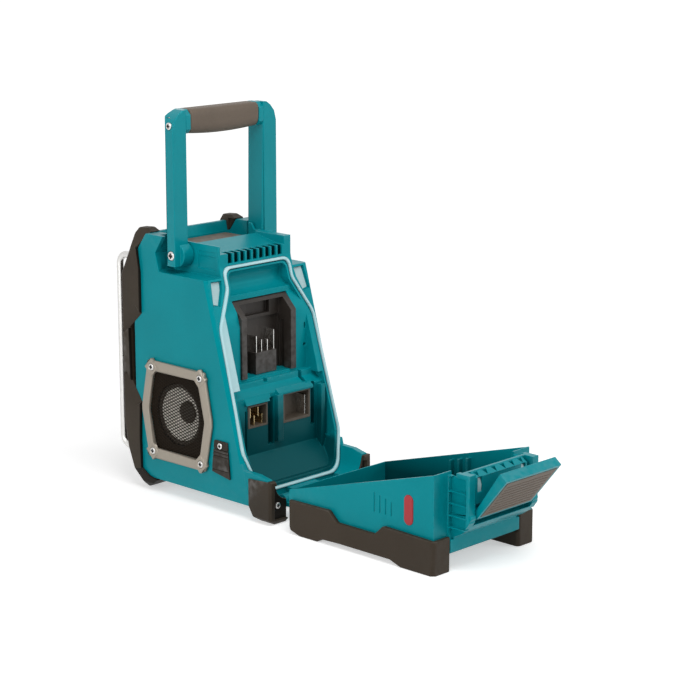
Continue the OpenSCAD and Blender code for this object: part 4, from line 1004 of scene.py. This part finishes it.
class RADIO_OT_speakers(Operator):
    """Finish the speaker frames, and make the expanded mesh, the baffles, the cones and the screws"""

    bl_idname = "radio.speakers"
    bl_label = "Speakers"

    def execute(self, context):
        detail = context.scene.radio_detail
        corners, middle = grille_corners()
        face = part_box("grille_right")[0][0]
        cone_low, cone_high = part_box("speaker_cone_right")
        cone_edge = (cone_high[2] - cone_low[2]) / 2
        profile, kinds = cone_profile(cone_edge, cap=13 * MM, base=cone_high[0] - 2.0 * MM)
        cone = revolve(profile, (0, *middle), (1, 0, 0), CONE_STEPS)
        mesh = expanded_mesh(corners, detail.cell_long, detail.cell_short, detail.strand, MESH_THICK)
        under_frame, round_cone, behind_mesh = 0.3 * MM, 0.4 * MM, 0.02 * MM
        plate = baffle(corners * (1 + under_frame / corners.max()), cone_edge + round_cone, BAFFLE_THICK)
        for side, way in (("right", 1), ("left", -1)):
            finished(f"speaker_frame_{side}", detail.facet, segments=1, least_angle=50)
            bars = placed_on_side(mesh[0], face + MESH_THICK, middle, way)
            add_piece(f"speaker_mesh_{side}", bars, mesh[1], ["mesh"], "cabinet", [f"grille_{side}"])
            flat = placed_on_side(plate[0], face + behind_mesh, middle, way)
            add_piece(f"speaker_baffle_{side}", flat, plate[1], ["mesh"], "cabinet")
            add_piece(f"cone_and_cap_{side}", cone[0] * (way, 1.0, 1.0), cone[1], ["cone_paper", "cap_dark"],
                      "cabinet", [f"speaker_cone_{side}"], np.repeat(kinds, CONE_STEPS))
        screw_set("speaker_screw_heads", "speaker_screws", axis=0, head=1.9 * MM, shaft=1.6 * MM)
        paint("driver_right", "driver_left")
        return {"FINISHED"}


class RADIO_OT_ports(Operator):
    """Finish the port cover, its tab and screw, and the jacks behind it"""

    bl_idname = "radio.ports"
    bl_label = "Service ports"

    def execute(self, context):
        detail = context.scene.radio_detail
        for name in ("port_cover", "port_cover_tab"):
            finished(name, detail.rubber_edge * 0.6, segments=3, material="port_rubber")
        finished("port_jacks", detail.edge * 0.5)
        screw_set("port_cover_screw_head", "port_cover_screw", axis=0, head=1.4 * MM, shaft=1.25 * MM)
        return {"FINISHED"}


class RADIO_OT_handle(Operator):
    """Finish the carry handle's legs, its grip, its screws and its pivots"""

    bl_idname = "radio.handle"
    bl_label = "Carry handle"

    def execute(self, context):
        for side in ("right", "left"):
            finished(f"handle_leg_{side}", context.scene.radio_detail.edge * 1.2, material="handle_plastic")
        points, faces = grip_surface(*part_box("handle_grip"), bow=2.7 * MM, lip=2.2 * MM)
        add_piece("handle_grip_sleeve", points, faces, ["grip_rubber"], "handle",
                  ["handle_grip"])
        paint("handle_core")
        screw_set("handle_screw_heads", "handle_screws", axis=0, head=2.4 * MM, shaft=1.95 * MM)
        screw_set("handle_pivot_heads", "handle_pivot_bolts", axis=0, head=3.4 * MM, shaft=3.99 * MM)
        return {"FINISHED"}


class RADIO_OT_door(Operator):
    """Finish the battery door's tray, its rubber feet and its bare badges"""

    bl_idname = "radio.door"
    bl_label = "Battery door"

    def execute(self, context):
        detail = context.scene.radio_detail
        # The tray's hollow gets a painted shade.
        finished("door_tray", detail.edge, material="tray_plastic_painted_shade")
        for side in ("right", "left"):
            finished(f"door_bumper_{side}", detail.rubber_edge, **RUBBER_ROUND)
        finished("door_badges", detail.edge * 0.6, material="power_red")
        return {"FINISHED"}


class RADIO_OT_latch(Operator):
    """Finish the latch lever, its ribbed pad, its pin and the spring clips"""

    bl_idname = "radio.latch"
    bl_label = "Latch"

    def execute(self, context):
        edge = context.scene.radio_detail.edge
        for name, share in (("lever", 1.0), ("pad", 0.6), ("clips", 0.5), ("pin", 0.5)):
            finished(f"latch_{name}", edge * share)
        return {"FINISHED"}


class RADIO_OT_front(Operator):
    """Finish the front panel, the display, the dial and the push buttons"""

    bl_idname = "radio.front"
    bl_label = "Front panel and controls"

    def execute(self, context):
        detail = context.scene.radio_detail
        finished("front_panel", detail.edge * 2.0, segments=3)
        finished("display_lens", detail.edge * 0.6)
        paint("display_module")
        points, faces = dial_surface(*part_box("tuning_dial"), detail.knurls)
        add_piece("tuning_dial_knurled", points, faces, ["grip_rubber"], "dial",
                  ["tuning_dial"])
        self.digits(*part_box("display_module"))
        buttons = ["power_button", "mode_button", "menu_button"]
        for name in buttons + [f"preset_button_{number}" for number in range(1, 5)]:
            finished(name, detail.edge * 1.6, segments=3)
        return {"FINISHED"}

    def digits(self, low, high):
        """The clock, with the station and its scale below it, on the face of the display."""
        clock = segment_bars("12:30", height=15 * MM, width=7 * MM, stroke=1.5 * MM, step=9.2 * MM)
        station = segment_bars("104", height=5 * MM, width=2.6 * MM, stroke=0.6 * MM, step=3.8 * MM)
        station[:, 0] -= 14 * MM
        scale = tick_bars(start=-2 * MM, step=2 * MM, count=14, stroke=0.5 * MM, tall=4.0 * MM, low=2.2 * MM)
        line = np.concatenate([station, scale]) - [0, 13 * MM, 0, 0]
        x, _, z = (low + high) / 2
        points, faces = boxes(np.concatenate([clock, line]) + [x, z, 0, 0], low[1] - 0.12 * MM, low[1])
        add_piece("display_digits", points, faces, ["lcd_ink"], "cabinet", smooth=False)


class RADIO_OT_insides(Operator):
    """Put their finishes on the boards and the aerial inside the housing"""

    bl_idname = "radio.insides"
    bl_label = "Boards and aerial"

    def execute(self, context):
        paint("main_board", "amplifier_board", "aerial")
        return {"FINISHED"}


# ---- stage ----
# Place of the camera, and its own axes to the right, up and back.
CAMERA_PLACE = (1.585225, 1.540938, 0.702352)
CAMERA_AXES = ((-0.69564, 0.71839, 0.0), (-0.15932, -0.15427, 0.97510), (0.70050, 0.67832, 0.22177))
LAMPS_AIM = (0.0, 0.0, 0.15)
FLOOR_REACH = 40.0


def area_lamp(name, place, size, power):
    """A square lamp at place, turned to look at the radio."""
    data = bpy.data.lights.new(name, "AREA")
    data.size = size
    data.energy = power
    lamp = placed(name, data)
    lamp.location = place
    lamp.rotation_euler = (Vector(LAMPS_AIM) - Vector(place)).to_track_quat("-Z", "Y").to_euler()


def seen_rays(tree):
    """1 for the rays that show a surface directly, in a reflection or through glass."""
    paths = node(tree, "LightPath").outputs
    seen = maths(tree, "MAXIMUM", paths["Is Camera Ray"], paths["Is Glossy Ray"])
    return maths(tree, "MAXIMUM", seen, paths["Is Transmission Ray"])


class RADIO_OT_stage(Operator):
    """Lay the floor, hang the lamps and set up the camera"""

    bl_idname = "radio.stage"
    bl_label = "Stage"

    def execute(self, context):
        stage = context.scene.radio_stage
        self.floor()
        self.world(context.scene, stage.ambient)
        area_lamp("lamp_above", place=(0.35, 0.75, 1.8), size=1.2, power=stage.above)
        area_lamp("lamp_side", place=(2.0, 0.1, 0.75), size=1.0, power=stage.side)
        area_lamp("lamp_back", place=(-1.2, 1.75, 0.95), size=0.8, power=stage.back)
        self.camera(context.scene, stage.lens)
        context.scene.view_settings.view_transform = "Standard"
        return {"FINISHED"}

    def floor(self):
        """A pale floor that glows to white where it is seen, and keeps the radio's shadow."""
        mesh = bpy.data.meshes.new("floor")
        corners = [(x * FLOOR_REACH, y * FLOOR_REACH, 0) for x, y in ((-1, -1), (1, -1), (1, 1), (-1, 1))]
        mesh.from_pydata(corners, [], [(0, 1, 2, 3)])
        tree, shader, place = new_material("floor_white")
        shader["Base Color"].default_value = (0.80, 0.80, 0.80, 1.0)
        shader["Roughness"].default_value = 0.9
        shader["Specular IOR Level"].default_value = 0.0
        far = node(tree, "VectorMath", {0: place}, operation="LENGTH").outputs["Value"]
        level = node(tree, "MapRange", {
            "Value": far, "From Min": 0.5, "From Max": 3.0, "To Min": 0.5, "To Max": 0.8}).outputs[0]
        strength = maths(tree, "MULTIPLY", seen_rays(tree), level)
        glow = node(tree, "Emission", {"Color": (1, 1, 1, 1), "Strength": strength})
        plain = tree.nodes["Principled BSDF"].outputs[0]
        both = node(tree, "AddShader", {0: plain, 1: glow.outputs[0]}).outputs[0]
        feed(tree, tree.nodes["Material Output"].inputs["Surface"], both)
        mesh.materials.append(MATERIALS["floor_white"])
        placed("floor", mesh)

    def world(self, scene, ambient):
        """White where it is seen, and a plain light from all round."""
        scene.world = bpy.data.worlds.new("studio")
        scene.world.use_nodes = True
        tree = scene.world.node_tree
        background = tree.nodes["Background"].inputs
        strength = node(tree, "MapRange", {"Value": seen_rays(tree), "To Min": ambient, "To Max": 1.0})
        feed(tree, background["Strength"], strength.outputs[0])
        background["Color"].default_value = (1, 1, 1, 1)

    def camera(self, scene, lens):
        """The camera, placed by its position and its own three axes."""
        data = bpy.data.cameras.new("camera")
        data.lens = lens
        data.sensor_width = 36.0
        camera = placed("camera", data)
        turn = Matrix(CAMERA_AXES).transposed().to_4x4()
        camera.matrix_world = Matrix.Translation(CAMERA_PLACE) @ turn
        scene.camera = camera


STEPS = (
    RADIO_OT_materials, RADIO_OT_stage, RADIO_OT_housing, RADIO_OT_sockets, RADIO_OT_seal, RADIO_OT_guards,
    RADIO_OT_speakers, RADIO_OT_ports, RADIO_OT_handle, RADIO_OT_door, RADIO_OT_latch, RADIO_OT_front,
    RADIO_OT_insides,
)


class RADIO_PT_panel(Panel):
    """Lists the radio's pieces in the sidebar"""

    bl_label = "Jobsite Radio"
    bl_idname = "RADIO_PT_panel"
    bl_space_type = "VIEW_3D"
    bl_region_type = "UI"
    bl_category = "Radio"

    def draw(self, context):
        for step in STEPS:
            self.layout.operator(step.bl_idname)
        for settings in ("radio_colours", "radio_detail", "radio_stage"):
            group = getattr(context.scene, settings)
            box = self.layout.box()
            for name in group.__annotations__:
                box.prop(group, name)


CLASSES = (RadioColours, RadioDetail, RadioStage) + STEPS + (RADIO_PT_panel,)


def register():
    for cls in CLASSES:
        bpy.utils.register_class(cls)
    bpy.types.Scene.radio_colours = PointerProperty(type=RadioColours)
    bpy.types.Scene.radio_detail = PointerProperty(type=RadioDetail)
    bpy.types.Scene.radio_stage = PointerProperty(type=RadioStage)


def unregister():
    for name in ("radio_colours", "radio_detail", "radio_stage"):
        delattr(bpy.types.Scene, name)
    for cls in reversed(CLASSES):
        bpy.utils.unregister_class(cls)


def main():
    register()
    for step in STEPS:
        group, name = step.bl_idname.split(".")
        getattr(getattr(bpy.ops, group), name)()


if __name__ == "__main__":
    main()
